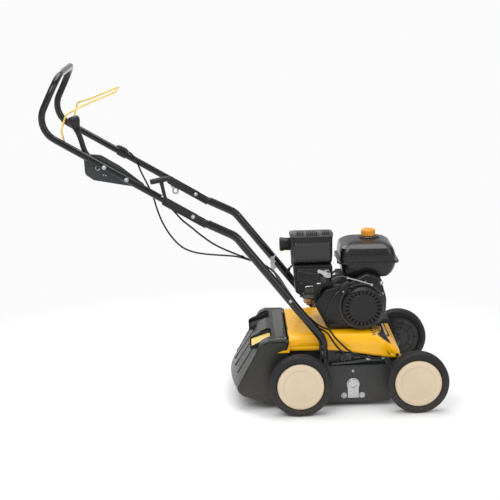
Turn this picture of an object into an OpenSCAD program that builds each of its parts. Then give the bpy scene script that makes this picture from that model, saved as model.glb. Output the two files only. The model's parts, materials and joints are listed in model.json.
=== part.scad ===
// Petrol lawn dethatcher (scarifier) with a rear collector and a folding handle.
// +X points forward, +Y to the operator's left and +Z up. The origin is on the ground, below the
// middle of the machine. Modules are written with X measured from the front axle; place() shifts them.

/* [Wheels] */
// Wheel radius
wheel_r = 100; // [95:1:105]
// Tyre width
tyre_w = 45; // [40:1:50]
// Radius of the push-on wheel cap
cap_r = 75; // [70:1:76]
// Distance between the front and rear axles
wheelbase = 378; // [370:1:390]
// Distance from the centre plane to the middle of a tyre
wheel_y = 277; // [275:1:285]
// Axle radius
axle_r = 6; // [5:0.5:7]

/* [Chassis] */
// Width over the chassis side plates
deck_w = 400; // [396:1:404]
// Thickness of the side plates
plate_t = 4; // [3:0.5:5]
// Height of the deck that the engine stands on
deck_z = 236; // [230:1:238]
// Ground clearance of the side plates
skirt_z = 14; // [12:1:20]
// Front axle crank pivot: distance behind the wheel centre
crank_back = 75; // [70:1:80]
// Front axle crank pivot: height
crank_pivot_z = 128; // [124:1:132]

/* [Rotor] */
// Rotor axis, distance behind the front axle
rotor_back = 202; // [198:1:206]
// Rotor axis height
rotor_z = 75; // [72:1:78]
// Radius at the blade tips
blade_r = 62; // [56:1:64]
// Number of blades along the shaft
blade_count = 15; // [11:2:17]
// Pitch radius of the rotor pulley
rotor_pulley_r = 45; // [42:1:46]
// Pitch radius of the engine pulley
engine_pulley_r = 30; // [26:1:32]

/* [Engine] */
// Crankshaft axis, distance behind the front axle
engine_back = 165; // [163:1:167]
// Crankshaft axis height
engine_z = 325; // [323:1:327]
// Radius of the recoil starter cover
recoil_r = 68; // [64:1:70]
// Number of cooling slots in the recoil cover
slot_count = 26; // [20:2:30]

/* [Handle] */
// Distance between the handle's side tubes, centre to centre
handle_w = 428; // [426:1:430]
// Diameter of the upper handle tube
upper_d = 22; // [20:1:23]
// Diameter of the lower handle tubes
lower_d = 27; // [26:1:28]
// Fold pivot, distance behind the front axle
fold_back = 705; // [703:1:707]
// Fold pivot height
fold_z = 651; // [650:1:652]
// Upper handle length from the fold pivot to the grip bend
shaft_len = 566; // [560:1:570]
// Slope of the upper handle above the horizontal
shaft_deg = 31; // [30.5:0.1:31.5]
// Length of the grip legs above the bend
grip_len = 182; // [175:1:200]
// Slope of the grip legs above the horizontal
grip_deg = 64; // [62:0.5:66]

/* [Hidden] */
$fn = 48;

fit = 0.05;                 // radial clearance of a running fit
seat = 0.3;                 // gap between pieces that are bolted face to face
half_deck = deck_w / 2;
handle_y = handle_w / 2;
upper_r = upper_d / 2;
lower_r = lower_d / 2;
tube_wall = 2;
rear_x = -wheelbase;
crank_x = -crank_back;
rotor_x = -rotor_back;
engine_x = -engine_back;
belt_y = 218;
belt_w = 10;
belt_t = 8;
deck_top = deck_z + 11;     // top of the engine pads, level with the hood

// Handle outline in the XZ plane
fold_p = [-fold_back, fold_z];
apex_p = fold_p + shaft_len * [-cos(shaft_deg), sin(shaft_deg)];
top_p = apex_p + grip_len * [cos(grip_deg), sin(grip_deg)];
apex_bend_r = 75;
apex_turn = 180 - shaft_deg - grip_deg;
apex_tangent = apex_bend_r * tan(apex_turn / 2);
apex_centre = apex_p + apex_tangent * [cos(shaft_deg), -sin(shaft_deg)]
            + apex_bend_r * [sin(shaft_deg), cos(shaft_deg)];
handle_reach = -(apex_centre.x - apex_bend_r - upper_r);
shift_x = (handle_reach - wheel_r) / 2;

BLACK = [0.07, 0.07, 0.075];
DARK = [0.16, 0.165, 0.17];
BROWN_GREY = [0.2, 0.19, 0.18];
YELLOW = [0.96, 0.7, 0.04];
CREAM = [0.85, 0.78, 0.66];
ZINC = [0.78, 0.79, 0.8];
BRASS = [0.75, 0.55, 0.32];
ORANGE = [0.87, 0.55, 0.12];
TYRE = [0.12, 0.12, 0.125];

// ---- helpers ----
module place() { translate([shift_x, 0, 0]) children(); }
module mirror_y(side) { scale([1, side, 1]) children(); }
function unit(v) = v / norm(v);
function to3(p, y) = [p.x, y, p[1]];

// Profile in XZ, extruded from y0 to y1
module slab(y0, y1) { translate([0, y1, 0]) rotate([90, 0, 0]) linear_extrude(y1 - y0) children(); }
// Disc or shaft along Y
module disc(x, z, y0, y1, r) { translate([x, y0, z]) rotate([-90, 0, 0]) cylinder(h = y1 - y0, r = r); }
module box(a, b) { translate(a) cube(b - a); }
// Straight round bar between two points
module rod(a, b, r) {
  d = b - a;
  translate(a) rotate([0, acos(d.z / norm(d)), atan2(d.y, d.x)]) cylinder(h = norm(d), r = r);
}
// One bend of a tube: from tangent point to tangent point about centre c
module bend(c, from, dir, angle, bend_r, r) {
  n = cross(from, dir);
  multmatrix([[from.x, dir.x, n.x, c.x], [from.y, dir.y, n.y, c.y], [from.z, dir.z, n.z, c.z],
      [0, 0, 0, 1]])
    rotate_extrude(angle = angle) translate([bend_r, 0]) circle(r);
}
joint_lap = 0.2;            // how far a straight run laps into the slightly thinner bend
joint_step = 0.02;
// Bent round bar through the points, each corner with its own bend radius
module bent_bar(p, radii, r) {
  last = len(p) - 1;
  u = [for (i = [0 : last - 1]) unit(p[i + 1] - p[i])];
  turn = [for (i = [0 : last]) i == 0 || i == last ? 0 : acos(u[i - 1] * u[i])];
  cut = [for (i = [0 : last]) turn[i] == 0 ? 0 : radii[i] * tan(turn[i] / 2)];
  for (i = [0 : last - 1])
    rod(p[i] + u[i] * (cut[i] - (i > 0 ? joint_lap : 0)),
        p[i + 1] - u[i] * (cut[i + 1] - (i < last - 1 ? joint_lap : 0)), r);
  for (i = [1 : last - 1]) {
    inward = unit(u[i] - u[i - 1] * (u[i - 1] * u[i]));
    start = p[i] - u[i - 1] * cut[i];
    bend(start + inward * radii[i], -inward, u[i - 1], turn[i], radii[i], r - joint_step);
  }
}
// Closed outline with every corner rounded to radius r
function rounded(p, r, steps = 5) = [
  for (i = [0 : len(p) - 1])
    let (a = p[(i + len(p) - 1) % len(p)], b = p[i], c = p[(i + 1) % len(p)],
         u = unit(a - b), v = unit(c - b), half = acos(u * v) / 2,
         cut = min(r / tan(half), 0.48 * min(norm(a - b), norm(c - b))), rr = cut * tan(half),
         centre = b + unit(u + v) * rr / sin(half),
         s = b + u * cut - centre, e = b + v * cut - centre,
         a0 = atan2(s.y, s.x), sweep = (atan2(e.y, e.x) - a0 + 540) % 360 - 180)
      for (k = [0 : steps]) centre + rr * [cos(a0 + sweep * k / steps), sin(a0 + sweep * k / steps)]
];
// Outline that wraps two circles, built from true arcs
module wrap2d(c1, r1, c2, r2) {
  d = c2 - c1;
  t = acos((r1 - r2) / norm(d));
  a = atan2(d.y, d.x);
  translate(c1) circle(r1);
  translate(c2) circle(r2);
  polygon([c1 + r1 * [cos(a + t), sin(a + t)], c2 + r2 * [cos(a + t), sin(a + t)],
           c2 + r2 * [cos(a - t), sin(a - t)], c1 + r1 * [cos(a - t), sin(a - t)]]);
}
// Flexible cable: an eight-sided tube swept along a smooth curve through the points
function curve_at(p, i, t) =
  let (n = len(p) - 1, a = p[max(i - 1, 0)], b = p[i], c = p[min(i + 1, n)], d = p[min(i + 2, n)])
  b + 0.5 * t * (c - a + t * (2 * a - 5 * b + 4 * c - d + t * (3 * (b - c) + d - a)));
module cable(p, r, per) {
  sides = 8;
  path = [for (i = [0 : len(p) - 2]) for (k = [0 : per - 1]) curve_at(p, i, k / per), p[len(p) - 1]];
  last = len(path) - 1;
  ring = [for (i = [0 : last])
    let (d = unit(path[min(i + 1, last)] - path[max(i - 1, 0)]), s = unit(cross(d,
        [0.1, 1, 0.05])), w = cross(s, d))
      for (k = [0 : sides - 1]) path[i] + r * (s * cos(k * 360 / sides) + w * sin(k * 360 / sides))];
  faces = [
    [for (k = [0 : sides - 1]) k],
    for (i = [0 : last - 1]) for (k = [0 : sides - 1])
      [i * sides + k, (i + 1) * sides + k, (i + 1) * sides + (k + 1) % sides, i * sides + (k + 1) % sides],
    [for (k = [sides - 1 : -1 : 0]) last * sides + k]
  ];
  polyhedron(points = ring, faces = faces);
}

// ---- wheels: built with +Z pointing outward from the machine ----
module wheel_at(x, side) {
  translate([x, side * wheel_y, wheel_r]) rotate([side > 0 ? -90 : 90, 0, 0]) children();
}
rim_r = cap_r + 1.5;
module tyre() {
  h = tyre_w / 2;
  color(TYRE) rotate_extrude($fn = 96) difference() {
    polygon(rounded([[rim_r + seat, -h], [wheel_r, -h], [wheel_r, h], [rim_r + seat, h]], 6));
    for (z = [-h / 2, 0, h / 2]) translate([wheel_r - 2, z - 1]) square([4, 2]);
  }
}
module rim() {
  h = tyre_w / 2;
  color(DARK) rotate_extrude($fn = 96) polygon([
    [axle_r + fit, -h - 4], [20, -h - 4], [26, -h + 2], [rim_r - 12, -h + 6], [rim_r, -h + 6],
        [rim_r, h - 4],
    [rim_r - 4, h - 4], [rim_r - 4, -h + 12], [26, -h + 8], [16, -h + 8], [16, 8], [axle_r + fit, 8]
  ]);
}
module cap() {
  z = tyre_w / 2 - 3.5;
  groove_r = cap_r * 0.74;
  color(CREAM) rotate_extrude($fn = 96) polygon([
    [0, z + 1], [cap_r, z], [cap_r, z + 5], [cap_r - 4, z + 8.5], [groove_r + 2, z + 8.5],
        [groove_r, z + 7],
    [groove_r - 2, z + 8.5], [0, z + 9.5]
  ]);
}
// Axle end with its retaining nut, from y0 outward
module axle_end(x, z, side) {
  mirror_y(side) {
    disc(x, z, wheel_y + 8.5, wheel_y + 15, 10);
    disc(x, z, wheel_y - tyre_w / 2 - 12, wheel_y - tyre_w / 2 - 5, 11);
  }
}
module rear_axle() {
  color(ZINC) {
    disc(rear_x, wheel_r, -wheel_y - 15, wheel_y + 15, axle_r);
    for (side = [-1, 1]) axle_end(rear_x, wheel_r, side);
  }
}
module front_axle() {
  arm_y = half_deck + 20;
  color(DARK) {
    disc(crank_x, crank_pivot_z, -arm_y - 8, arm_y + 8, 8);
    for (side = [-1, 1]) mirror_y(side) {
      slab(arm_y, arm_y + 8) wrap2d([crank_x, crank_pivot_z], 16, [0, wheel_r], 14);
      disc(0, wheel_r, arm_y, wheel_y + 15, axle_r);
      axle_end(0, wheel_r, 1);
    }
    slab(-half_deck - 14, -half_deck - 8) wrap2d([crank_x, crank_pivot_z], 13,
        [crank_x - 18, crank_pivot_z + 32], 8);
  }
}

// ---- chassis ----
inner_half = 180;           // half width of the rotor housing
ear_x = -298;               // centre of the ear that carries the lower handle
module side_plate_2d() {
  difference() {
    polygon([[rear_x - 24, 70], [rear_x + 70, skirt_z], [-84, skirt_z], [-45, 70], [-45, 150], [-97, 138],
               [ear_x + 16, 138], [ear_x + 13, 216], [ear_x - 13, 216], [ear_x - 16, 138],
                   [rear_x - 24, 138]]);
    translate([rear_x, wheel_r]) circle(axle_r + fit);
    translate([crank_x, crank_pivot_z]) circle(8 + fit);
    translate([rotor_x, rotor_z]) circle(16);
  }
}
module chassis_deck() {
  t = 3;
  roof = [[-410, 150], [-410, 212], [-404, 224], [-300, deck_z], [-95, deck_z], [-50, 160], [-46, 60]];
  color(DARK) {
    for (side = [-1, 1]) mirror_y(side) {
      slab(half_deck - plate_t, half_deck) side_plate_2d();
      difference() {
        union() {
          // ledge that joins the side plate to the narrower rotor housing
          box([-330, inner_half, 134], [-50, half_deck - plate_t + 0.5, 137.5]);
          slab(inner_half - t, inner_half)
            polygon([[-410, 134], [-410, 210], [-404, 221], [-300, deck_z - t], [-97, deck_z - t],
                [-53, 160], [-53, 134]]);
        }
        // clearance round the front axle's crank shaft
        disc(crank_x, crank_pivot_z, inner_half - t - 1, half_deck - plate_t + 1, 9);
      }
    }
    slab(-inner_half, inner_half) difference() {
      polygon(roof);
      polygon([[-411, 149], [-411, 210], [-405, 221], [-300, deck_z - t], [-97, deck_z - t],
          [-53, 159], [-49, 59]]);
    }
    // pads under the engine feet
    for (x = [-242, -128]) for (y = [-82, 42]) box([x, y, deck_z - 1], [x + 32, y + 34, deck_top - seat]);
    // lower cross tube behind the rotor
    disc(-330, 60, -half_deck + 2, half_deck - 2, 9);
  }
}
hood_half = half_deck - plate_t - 0.4;
hood_t = 3;
hood_profile = rounded([[-413, 192], [-408, 240], [-300, 246], [-96, 244], [-52, 196], [-44, 160],
    [-75, 160],
                        [-226, 185], [-262, 190]], 6, 3);
module hood_cover() {
  // tabs that clip over the front edge of the collector's side walls
  color(YELLOW) for (side = [-1, 1]) mirror_y(side) {
    box([-415, hood_half - 1, 191], [-408.5, catcher_half + 2.4, 198]);
    box([-446, catcher_half + 0.4, 191], [-414.5, catcher_half + 2.4, 198]);
  }
  color(YELLOW) difference() {
    slab(-hood_half, hood_half) polygon(hood_profile);
    slab(-hood_half + hood_t, hood_half - hood_t)
      polygon([[-416, 150], [-416, 200], [-405, 236], [-300, 243], [-98, 241], [-55, 195], [-47.5, 150]]);
    box([-262, -128, 238], [-68, 92, 260]);
  }
}
module bearing_flanges() {
  color(ZINC) for (side = [-1, 1]) mirror_y(side) {
    slab(half_deck + seat, half_deck + 4) difference() {
      union() {
        translate([rotor_x, rotor_z]) circle(21);
        translate([rotor_x - 18, rotor_z - 46]) square([36, 46]);
      }
      translate([rotor_x, rotor_z]) circle(10 + fit);
    }
    slab(half_deck + 4, half_deck + (side < 0 ? 12 : 7)) difference() {
      translate([rotor_x, rotor_z]) circle(17);
      translate([rotor_x, rotor_z]) circle(10 + fit);
    }
    slab(half_deck - 14, half_deck + seat) difference() {
      translate([rotor_x, rotor_z]) circle(15.9);
      translate([rotor_x, rotor_z]) circle(10 + fit);
    }
  }
}
module hex_bolt(x, z, y, side, r, h) {
  mirror_y(side) {
    disc(x, z, y, y + 1.5, r * 1.15);
    translate([x, y + 1.5, z]) rotate([-90, 0, 0]) cylinder(h = h, r = r, $fn = 6);
  }
}
module fasteners() {
  outer = handle_y + lower_r;
  color(ZINC) for (side = [-1, 1]) {
    for (x = [rotor_x - 30, rotor_x + 29]) hex_bolt(x, 37, half_deck + seat, side, 8, side < 0 ? 6 : 2.8);
    hex_bolt(rotor_x, 119, half_deck + seat, side, 4, 3);
    for (z = [176, 204]) hex_bolt(ear_x, z, outer + seat, side, 6.5, 5);
    hex_bolt(-402, 366, outer + 0.1, side, 4, 3);
    // fold bolts, which carry the upper handle
    mirror_y(side) {
      disc(fold_p.x, fold_p[1], handle_y - 20, handle_y + 20, 4);
      disc(fold_p.x, fold_p[1], handle_y + 14.8, handle_y + 20, 6);
      disc(fold_p.x, fold_p[1], handle_y - 20, handle_y - 14.8, 6);
    }
  }
  // screws around the blower housing
  color(ZINC) for (p = [[-223, 372], [-101, 363], [-101, 400]]) hex_bolt(p.x, p[1], 152 + seat, -1, 4.5, 3);
}

// ---- rotor ----
module rotor_shaft() {
  color(ZINC) disc(rotor_x, rotor_z, -half_deck - 8, belt_y + 16, 10);
}
// Outline of one four-armed blade
blade_arm = [[16, -15], [blade_r - 6, -9], [blade_r, -3], [blade_r - 8, 9], [17, 13]];
function turned(p, a) = [p.x * cos(a) - p[1] * sin(a), p.x * sin(a) + p[1] * cos(a)];
module rotor_blades() {
  pitch = 2 * (inner_half - 16) / (blade_count - 1);
  half_t = 1.5;
  color(DARK) for (i = [0 : blade_count - 1]) {
    y = -inner_half + 16 + i * pitch;
    slab(y - half_t, y + half_t) translate([rotor_x, rotor_z]) difference() {
      polygon([for (a = [0 : 90 : 270]) for (q = blade_arm) turned(q, a + i * 24)]);
      circle(10 + fit);
    }
    // spacer up to the next blade
    if (i < blade_count - 1) slab(y + half_t + 0.1, y + pitch - half_t - 0.1) translate([rotor_x, rotor_z])
      difference() {
        circle(14);
        circle(10 + fit);
      }
  }
}
module v_pulley(x, z, r, bore) {
  groove = belt_w / 2 + 0.7;
  edge = r + belt_t / 2;
  color(ZINC) translate([x, belt_y, z]) rotate([-90, 0, 0]) rotate_extrude() polygon([
    [bore, -9], [edge, -9], [edge, -groove], [r - belt_t / 2 - 1, -groove], [r - belt_t / 2 - 1, groove],
    [edge, groove], [edge, 9], [bore, 9]
  ]);
}
module rotor_pulley() { v_pulley(rotor_x, rotor_z, rotor_pulley_r, 10 + fit); }
module engine_pulley() {
  v_pulley(engine_x, engine_z, engine_pulley_r, 9);
  color(ZINC) disc(engine_x, engine_z, 40, belt_y + 14, 10);
}
module drive_belt() {
  c1 = [engine_x, engine_z];
  c2 = [rotor_x, rotor_z];
  color(BLACK) slab(belt_y - belt_w / 2, belt_y + belt_w / 2) difference() {
    wrap2d(c1, engine_pulley_r + belt_t / 2, c2, rotor_pulley_r + belt_t / 2);
    wrap2d(c1, engine_pulley_r - belt_t / 2, c2, rotor_pulley_r - belt_t / 2);
  }
}
idler_pivot = [-110, 118];
idler_c = [-114, 192];
module idler_arm() {
  color(ZINC) {
    slab(belt_y + 11, belt_y + 15) difference() {
      wrap2d(idler_pivot, 10, idler_c, 9);
      translate(idler_pivot) circle(4 + fit);
    }
    disc(idler_c.x, idler_c[1], belt_y - 9, belt_y + 12, 4);
  }
}
module idler_pulley() {
  color(DARK) slab(belt_y - 8, belt_y + 8) difference() {
    translate(idler_c) circle(17);
    translate(idler_c) circle(4 + fit);
  }
}
module belt_guard() {
  y0 = half_deck + 5;
  y1 = belt_y + 28;
  t = 2.5;
  module outline(grow) {
    wrap2d([engine_x, engine_z], 46 + grow, [rotor_x, rotor_z], 58 + grow);
    translate([-150 - grow, 96 - grow]) square([58 + 2 * grow, 132 + 2 * grow]);
  }
  color(DARK) {
    difference() {
      union() {
        slab(y0, y1) outline(0);
        disc(engine_x, engine_z, 105, y0 + 1, 42);
      }
      slab(y0 + t, y1 - t) outline(-t);
      disc(engine_x, engine_z, 104, y0 + t + 1, 42 - t);
      disc(rotor_x, rotor_z, y0 - 1, y0 + t + 1, 24);
    }
    // pin that carries the idler arm
    disc(idler_pivot.x, idler_pivot[1], y0 + t / 2, y1 - t / 2, 4);
  }
}

// ---- engine ----
module crankcase() {
  color(BLACK) difference() {
    union() {
      box([-236, -116, 262], [-96, 80, 400]);
      box([-256, -92, deck_top], [-72, 82, 262]);
      disc(engine_x, engine_z, 80, 104, 44);
    }
    disc(engine_x, engine_z, 38, 106, 10 + fit);
  }
}
module cylinder_head() {
  head_tilt = 22;
  color([0.3, 0.3, 0.3]) intersection() {
    translate([-237.5, 0, 318]) rotate([0, head_tilt, 0]) {
      box([-70, -42, -38], [30, 46, 38]);
      for (i = [0 : 7]) box([-68 + i * 9, -52, -48], [-64.5 + i * 9, 56, 48]);
      box([-100, -36, -34], [-74, 40, 34]);
      box([-75, -44, -42], [-70, 48, 42]);
    }
    box([-400, -58, 200], [-236 - seat, 56, 398]);
  }
}
shroud_outline = rounded([[-84, 345], [-88, 290], [-133, 250], [-281, 250], [-297, 285], [-324, 336],
    [-286, 382],
                          [-219, 399], [-150, 431], [-104, 420]], 14, 3);
module blower_shroud() {
  t = 2.5;
  color(BLACK) difference() {
    slab(-152, -118) polygon(shroud_outline);
    slab(-152 + t, -117) translate([engine_x, engine_z]) scale([0.97, 0.97]) translate([-engine_x, -engine_z])
      polygon(shroud_outline);
    disc(engine_x, engine_z, -154, -149, 58);
  }
}
module recoil_cover() {
  y0 = -186;
  y1 = -152 - seat;
  color(DARK) difference() {
    union() {
      disc(engine_x, engine_z, y0 + 6, y1, recoil_r);
      disc(engine_x, engine_z, y0, y1, recoil_r - 4);
    }
    disc(engine_x, engine_z, y0 + 4, y1 + 1, recoil_r - 5);
    for (i = [0 : slot_count - 1]) translate([engine_x, 0, engine_z]) rotate([0, i * 360 / slot_count, 0])
      box([44, y0 - 1, -2.4], [59, y0 + 5, 2.4]);
  }
  // rope hub
  color(BLACK) disc(engine_x, engine_z, y0 + 4, y1 - 4, 30);
}
tank_outline = rounded([[-229, 418], [-222, 409], [-80, 407], [-52, 424], [-46, 470], [-58, 508],
    [-74, 525],
                        [-206, 525], [-222, 510], [-232, 470]], 8, 3);
module fuel_tank() {
  color(BLACK) {
    intersection() {
      slab(-118, 88) polygon(tank_outline);
      translate([0, 0, 400]) linear_extrude(130) polygon(rounded([[-240, -118], [-40, -118], [-40, 88],
          [-240, 88]], 26, 4));
    }
    translate([0, 0, 458]) linear_extrude(4) polygon(rounded([[-241, -126], [-37, -126], [-37, 96],
        [-241, 96]], 26, 4));
    translate([-130, -10, 524]) cylinder(h = 7, r = 33);
  }
}
module fuel_cap() {
  color(ORANGE) translate([-130, -10, 531 + seat]) {
    difference() {
      cylinder(h = 25, r = 24);
      for (i = [0 : 15]) rotate(i * 22.5) translate([25.5, 0, 5]) cylinder(h = 30, r = 3, $fn = 16);
    }
  }
}
filter_top = 549.5;
// Drum along X from p, of length l
module disc_x(p, l, r) { translate(p) rotate([0, 90, 0]) cylinder(h = l, r = r); }
module air_filter_base() {
  color(BLACK) {
    translate([0, 0, 460]) linear_extrude(filter_top - 460)
      polygon(rounded([[-392, -110], [-256, -110], [-256, -18], [-392, -18]], 14, 4));
    // intake horn
    disc_x([-427, -55, 520], 36, 21);
  }
}
module air_filter_lid() {
  color([0.32, 0.32, 0.33]) {
    difference() {
      translate([0, 0, filter_top + seat]) linear_extrude(19)
        polygon(rounded([[-395, -114], [-253, -114], [-253, -15], [-395, -15]], 16, 4));
      for (g = [-376, -333, -292]) for (i = [0 : 2]) box([g + i * 8, -100, filter_top + 10],
          [g + i * 8 + 4, -40, filter_top + 30]);
      // the top falls away to the rear
      translate([-400, -114, filter_top + 19.5]) rotate([-9, 0, 0]) cube([150, 110, 20]);
    }
  }
}
carb_outline = [[-386, 459.7], [-386, 450], [-381, 372], [-368, 361], [-308, 361], [-289, 387],
    [-258, 394], [-258, 459.7]];
module carb_cover() {
  color(BLACK) slab(-140, -62) polygon(rounded(carb_outline, 6, 3));
}
module carburettor() { color(ZINC) box([-358, -118, 345], [-320, -84, 361 - seat]); }
module carb_bowl() {
  color(BRASS) {
    translate([-339, -101, 326]) cylinder(h = 18.7, r = 17);
    translate([-339, -101, 320]) cylinder(h = 7, r = 6);
  }
}
module muffler() {
  color([0.25, 0.24, 0.23]) {
    slab(48, 112) polygon(rounded([[-380, 410], [-276, 410], [-276, 500], [-380, 500]], 20, 4));
    // exhaust port and outlet
    rod([-330, 80, 411], [-330, 80, 352], 11);
    disc(-330, 352, 56 + seat, 86, 11);
    rod([-366, 80, 412], [-372, 80, 398], 8);
  }
}
module muffler_guard() {
  color(BLACK) difference() {
    slab(113, 120) polygon(rounded([[-384, 402], [-272, 402], [-272, 508], [-384, 508]], 16, 4));
    for (z = [425 : 14 : 490]) for (x = [-367, -323]) box([x, 112, z], [x + 34, 121, z + 6]);
  }
}
module spark_plug_boot() {
  color(BLACK) {
    rod([-336, 10, 360], [-366, 10, 376], 8);
    rod([-366, 10, 376], [-366, 10, 400], 6);
  }
}
module control_bracket() {
  color(ZINC) {
    box([-290, -144, 420], [-264, -140 - seat, 448]);
    disc(-275, 430, -152, -144, 4);
    rod([-212, -156, 421], [-134, -156, 396], 3);
    disc(-212, 421, -159, -152 - seat, 5);
    disc(-134, 396, -159, -152 - seat, 5);
  }
}
module throttle_lever() {
  color(ZINC) {
    slab(-149.5, -146.5) difference() {
      wrap2d([-275, 430], 8, [-304, 446], 5);
      translate([-275, 430]) circle(4 + fit);
    }
  }
  color(BLACK) disc(-304, 446, -158, -149.5, 6);
}
// Starter grip: sits in its guide at the top of the recoil cover, and pulls out along pull_dir
pull_dir = unit([-0.62, -0.3, 0.72]);
rope_exit = [-206, -176, 376];
module starter_grip() {
  p = rope_exit + 14 * pull_dir;
  across = unit(cross(pull_dir, [0, 1, 0]));
  color(BLACK) {
    rod(p, p + 14 * pull_dir, 8);
    rod(p + 20 * pull_dir - 20 * across, p + 20 * pull_dir + 20 * across, 8);
  }
}
module starter_rope() { color([0.6, 0.5, 0.35]) rod(rope_exit + 6 * pull_dir,
    rope_exit + 13.7 * pull_dir, 2); }

// ---- belt-side and lower handle ----
along = unit([-cos(shaft_deg), sin(shaft_deg)]);
normal = [along[1], -along.x];
bracket_low = 52;           // channel length below the fold pivot
bracket_len = 108;          // channel length above the fold pivot
lower_start = fold_p - (bracket_low + 0.4) * along;
lower_knee = [-572, 581];
module lower_handle(side) {
  p = [to3(lower_start, side * handle_y), to3(lower_knee, side * handle_y), [ear_x, side * handle_y, 232],
       [ear_x, side * handle_y, 158]];
  color(BLACK) difference() {
    bent_bar(p, [0, 70, 60, 0], lower_r);
    bent_bar(p, [0, 70, 60, 0], lower_r - tube_wall);
  }
}
// Channel that receives the upper handle, open on its upper side
module fold_brackets() {
  t = 2.5;
  inner = upper_r + 0.6;
  reach = 8;                // cheek height above the tube's axis
  function at(a, n) = fold_p + a * along + n * normal;
  lower_dir = unit(lower_knee - lower_start);
  sleeve = lower_start + 28 * lower_dir;
  color(BLACK) for (side = [-1, 1]) translate([0, side * handle_y, 0]) {
    for (face = [-1, 1]) mirror_y(face) slab(inner, inner + t) difference() {
      polygon(rounded([at(bracket_len, reach), at(bracket_len, -inner - t), at(-bracket_low, -inner - t),
                       at(-bracket_low, reach)], 6, 3));
      translate(fold_p) circle(4 + fit);
      if (face == side) translate(clamp_p) circle(4 + fit);
    }
    // floor, cut back so that the folding tube's end swings clear of it
    slab(-inner - t / 2, inner + t / 2)
      polygon([at(bracket_len - 6, -inner), at(18, -inner), at(18, -inner - t + 0.2),
               at(bracket_len - 6, -inner - t + 0.2)]);
    // block that holds the spigot
    slab(-inner - t / 2, inner + t / 2)
      polygon([at(-bracket_low + 14, reach - 1), at(-bracket_low + 1, reach - 1),
               at(-bracket_low + 1, -inner - t + 0.2), at(-bracket_low + 14, -inner - t + 0.2)]);
    rod(to3(lower_start - 8 * lower_dir, 0), to3(sleeve, 0), lower_r - tube_wall - seat);
  }
}
// T-handled clamp screw in the outer cheek of each bracket
clamp_p = fold_p + 97 * along;
clamp_tip = [-802, 774];
clamp_dir = unit(clamp_tip - clamp_p);
clamp_across = [clamp_dir[1], -clamp_dir.x];
clamp_y = handle_y + upper_r + 0.4;
module clamp_lever_right() {
  color(BLACK) mirror_y(-1) {
    disc(clamp_p.x, clamp_p[1], clamp_y, clamp_y + 10, 4);
    disc(clamp_p.x, clamp_p[1], clamp_y + 4, clamp_y + 18, 10);
    rod(to3(clamp_p, clamp_y + 11), to3(clamp_tip, clamp_y + 14), 5);
    rod(to3(clamp_tip - 34 * clamp_across, clamp_y + 14), to3(clamp_tip + 32 * clamp_across,
        clamp_y + 14), 8);
  }
}
// Drop ring on the left, in place of the T handle
module clamp_lever_left() {
  eye = [-776, 660];
  color(ZINC) {
    disc(clamp_p.x, clamp_p[1], clamp_y, clamp_y + 10, 4);
    slab(clamp_y + 4, clamp_y + 9) difference() {
      union() {
        wrap2d(clamp_p, 10, eye, 6);
        translate(eye) circle(12);
      }
      translate(eye) circle(7);
    }
  }
}

// ---- upper handle ----
module upper_handle_tube() {
  bar_bend = 70;
  low = [fold_p.x, fold_p[1]] - 8 * along;
  p = concat([to3(low, -handle_y), to3(apex_p, -handle_y), to3(top_p, -handle_y)],
             [to3(top_p, handle_y), to3(apex_p, handle_y), to3(low, handle_y)]);
  radii = [0, apex_bend_r, bar_bend, bar_bend, apex_bend_r, 0];
  color(BLACK) difference() {
    bent_bar(p, radii, upper_r);
    bent_bar(p, radii, upper_r - tube_wall);
    for (side = [-1, 1]) mirror_y(side) {
      disc(fold_p.x, fold_p[1], handle_y - 20, handle_y + 20, 4 + fit);
      disc(bail_p.x, bail_p[1], handle_y - 20, handle_y, 3 + fit);
    }
  }
}
bail_p = fold_p + 462 * along;
quad_p = [-1001, 812];
quad_y = handle_y - upper_r - seat;     // the plate sits on the inner side of the right tube
module quadrant_plate() {
  leaf = [[-1044, 846], [-1042, 792], [-1016, 773], [-960, 762], [-876, 746], [-852, 752], [-930, 816],
      [-990, 853], [-1024, 856]];
  color(BLACK) {
    slab(-quad_y, -quad_y + 4) polygon(rounded(leaf, 10, 3));
    disc(quad_p.x, quad_p[1], -quad_y - 1.5, -quad_y + 12, 5);
    rod([-890, -quad_y + 7, 764], [-866, -quad_y + 7, 750], 4.5);
  }
}
module depth_lever() {
  y0 = -quad_y + 4.6;
  knee = [-1040, 866];
  knob = [-1066, 952];
  color(BLACK) {
    slab(y0, y0 + 4) difference() {
      union() { wrap2d(quad_p, 14, knee, 9); wrap2d(knee, 9, knob, 7); }
      translate(quad_p) circle(5 + fit);
    }
    rod(to3(knob - [0, 8], y0 + 2), to3(knob + [-5, 24], y0 + 2), 12);
  }
}
module handle_fittings() {
  color(ZINC) {
    for (s = [320, 240]) hex_bolt((fold_p + s * along).x, (fold_p + s * along)[1],
        handle_y + upper_r + seat, -1, 4, 3);
    // cable adjuster on the left tube
    rod([-930, handle_y - 17, 806], [-972, handle_y - 17, 831], 4.5);
    rod([-940, handle_y - 17, 812], [-952, handle_y - 17, 819], 7);
  }
}
module bail_wire() {
  r = 3;
  y = handle_y - upper_r - 6;
  half = [to3(bail_p, handle_y - 3), to3(bail_p, y), to3(bail_p + [-9, 44], y), to3(bail_p + [6, 92], 180),
          to3(bail_p + [52, 110], 98), to3(bail_p + [156, 150], 92)];
  p = concat([for (q = half) [q.x, -q.y, q.z]], [for (i = [5 : -1 : 0]) half[i]]);
  color(YELLOW) bent_bar(p, [0, 5, 18, 26, 24, 14, 14, 24, 26, 18, 5, 0], r, $fn = 24);
}

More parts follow.
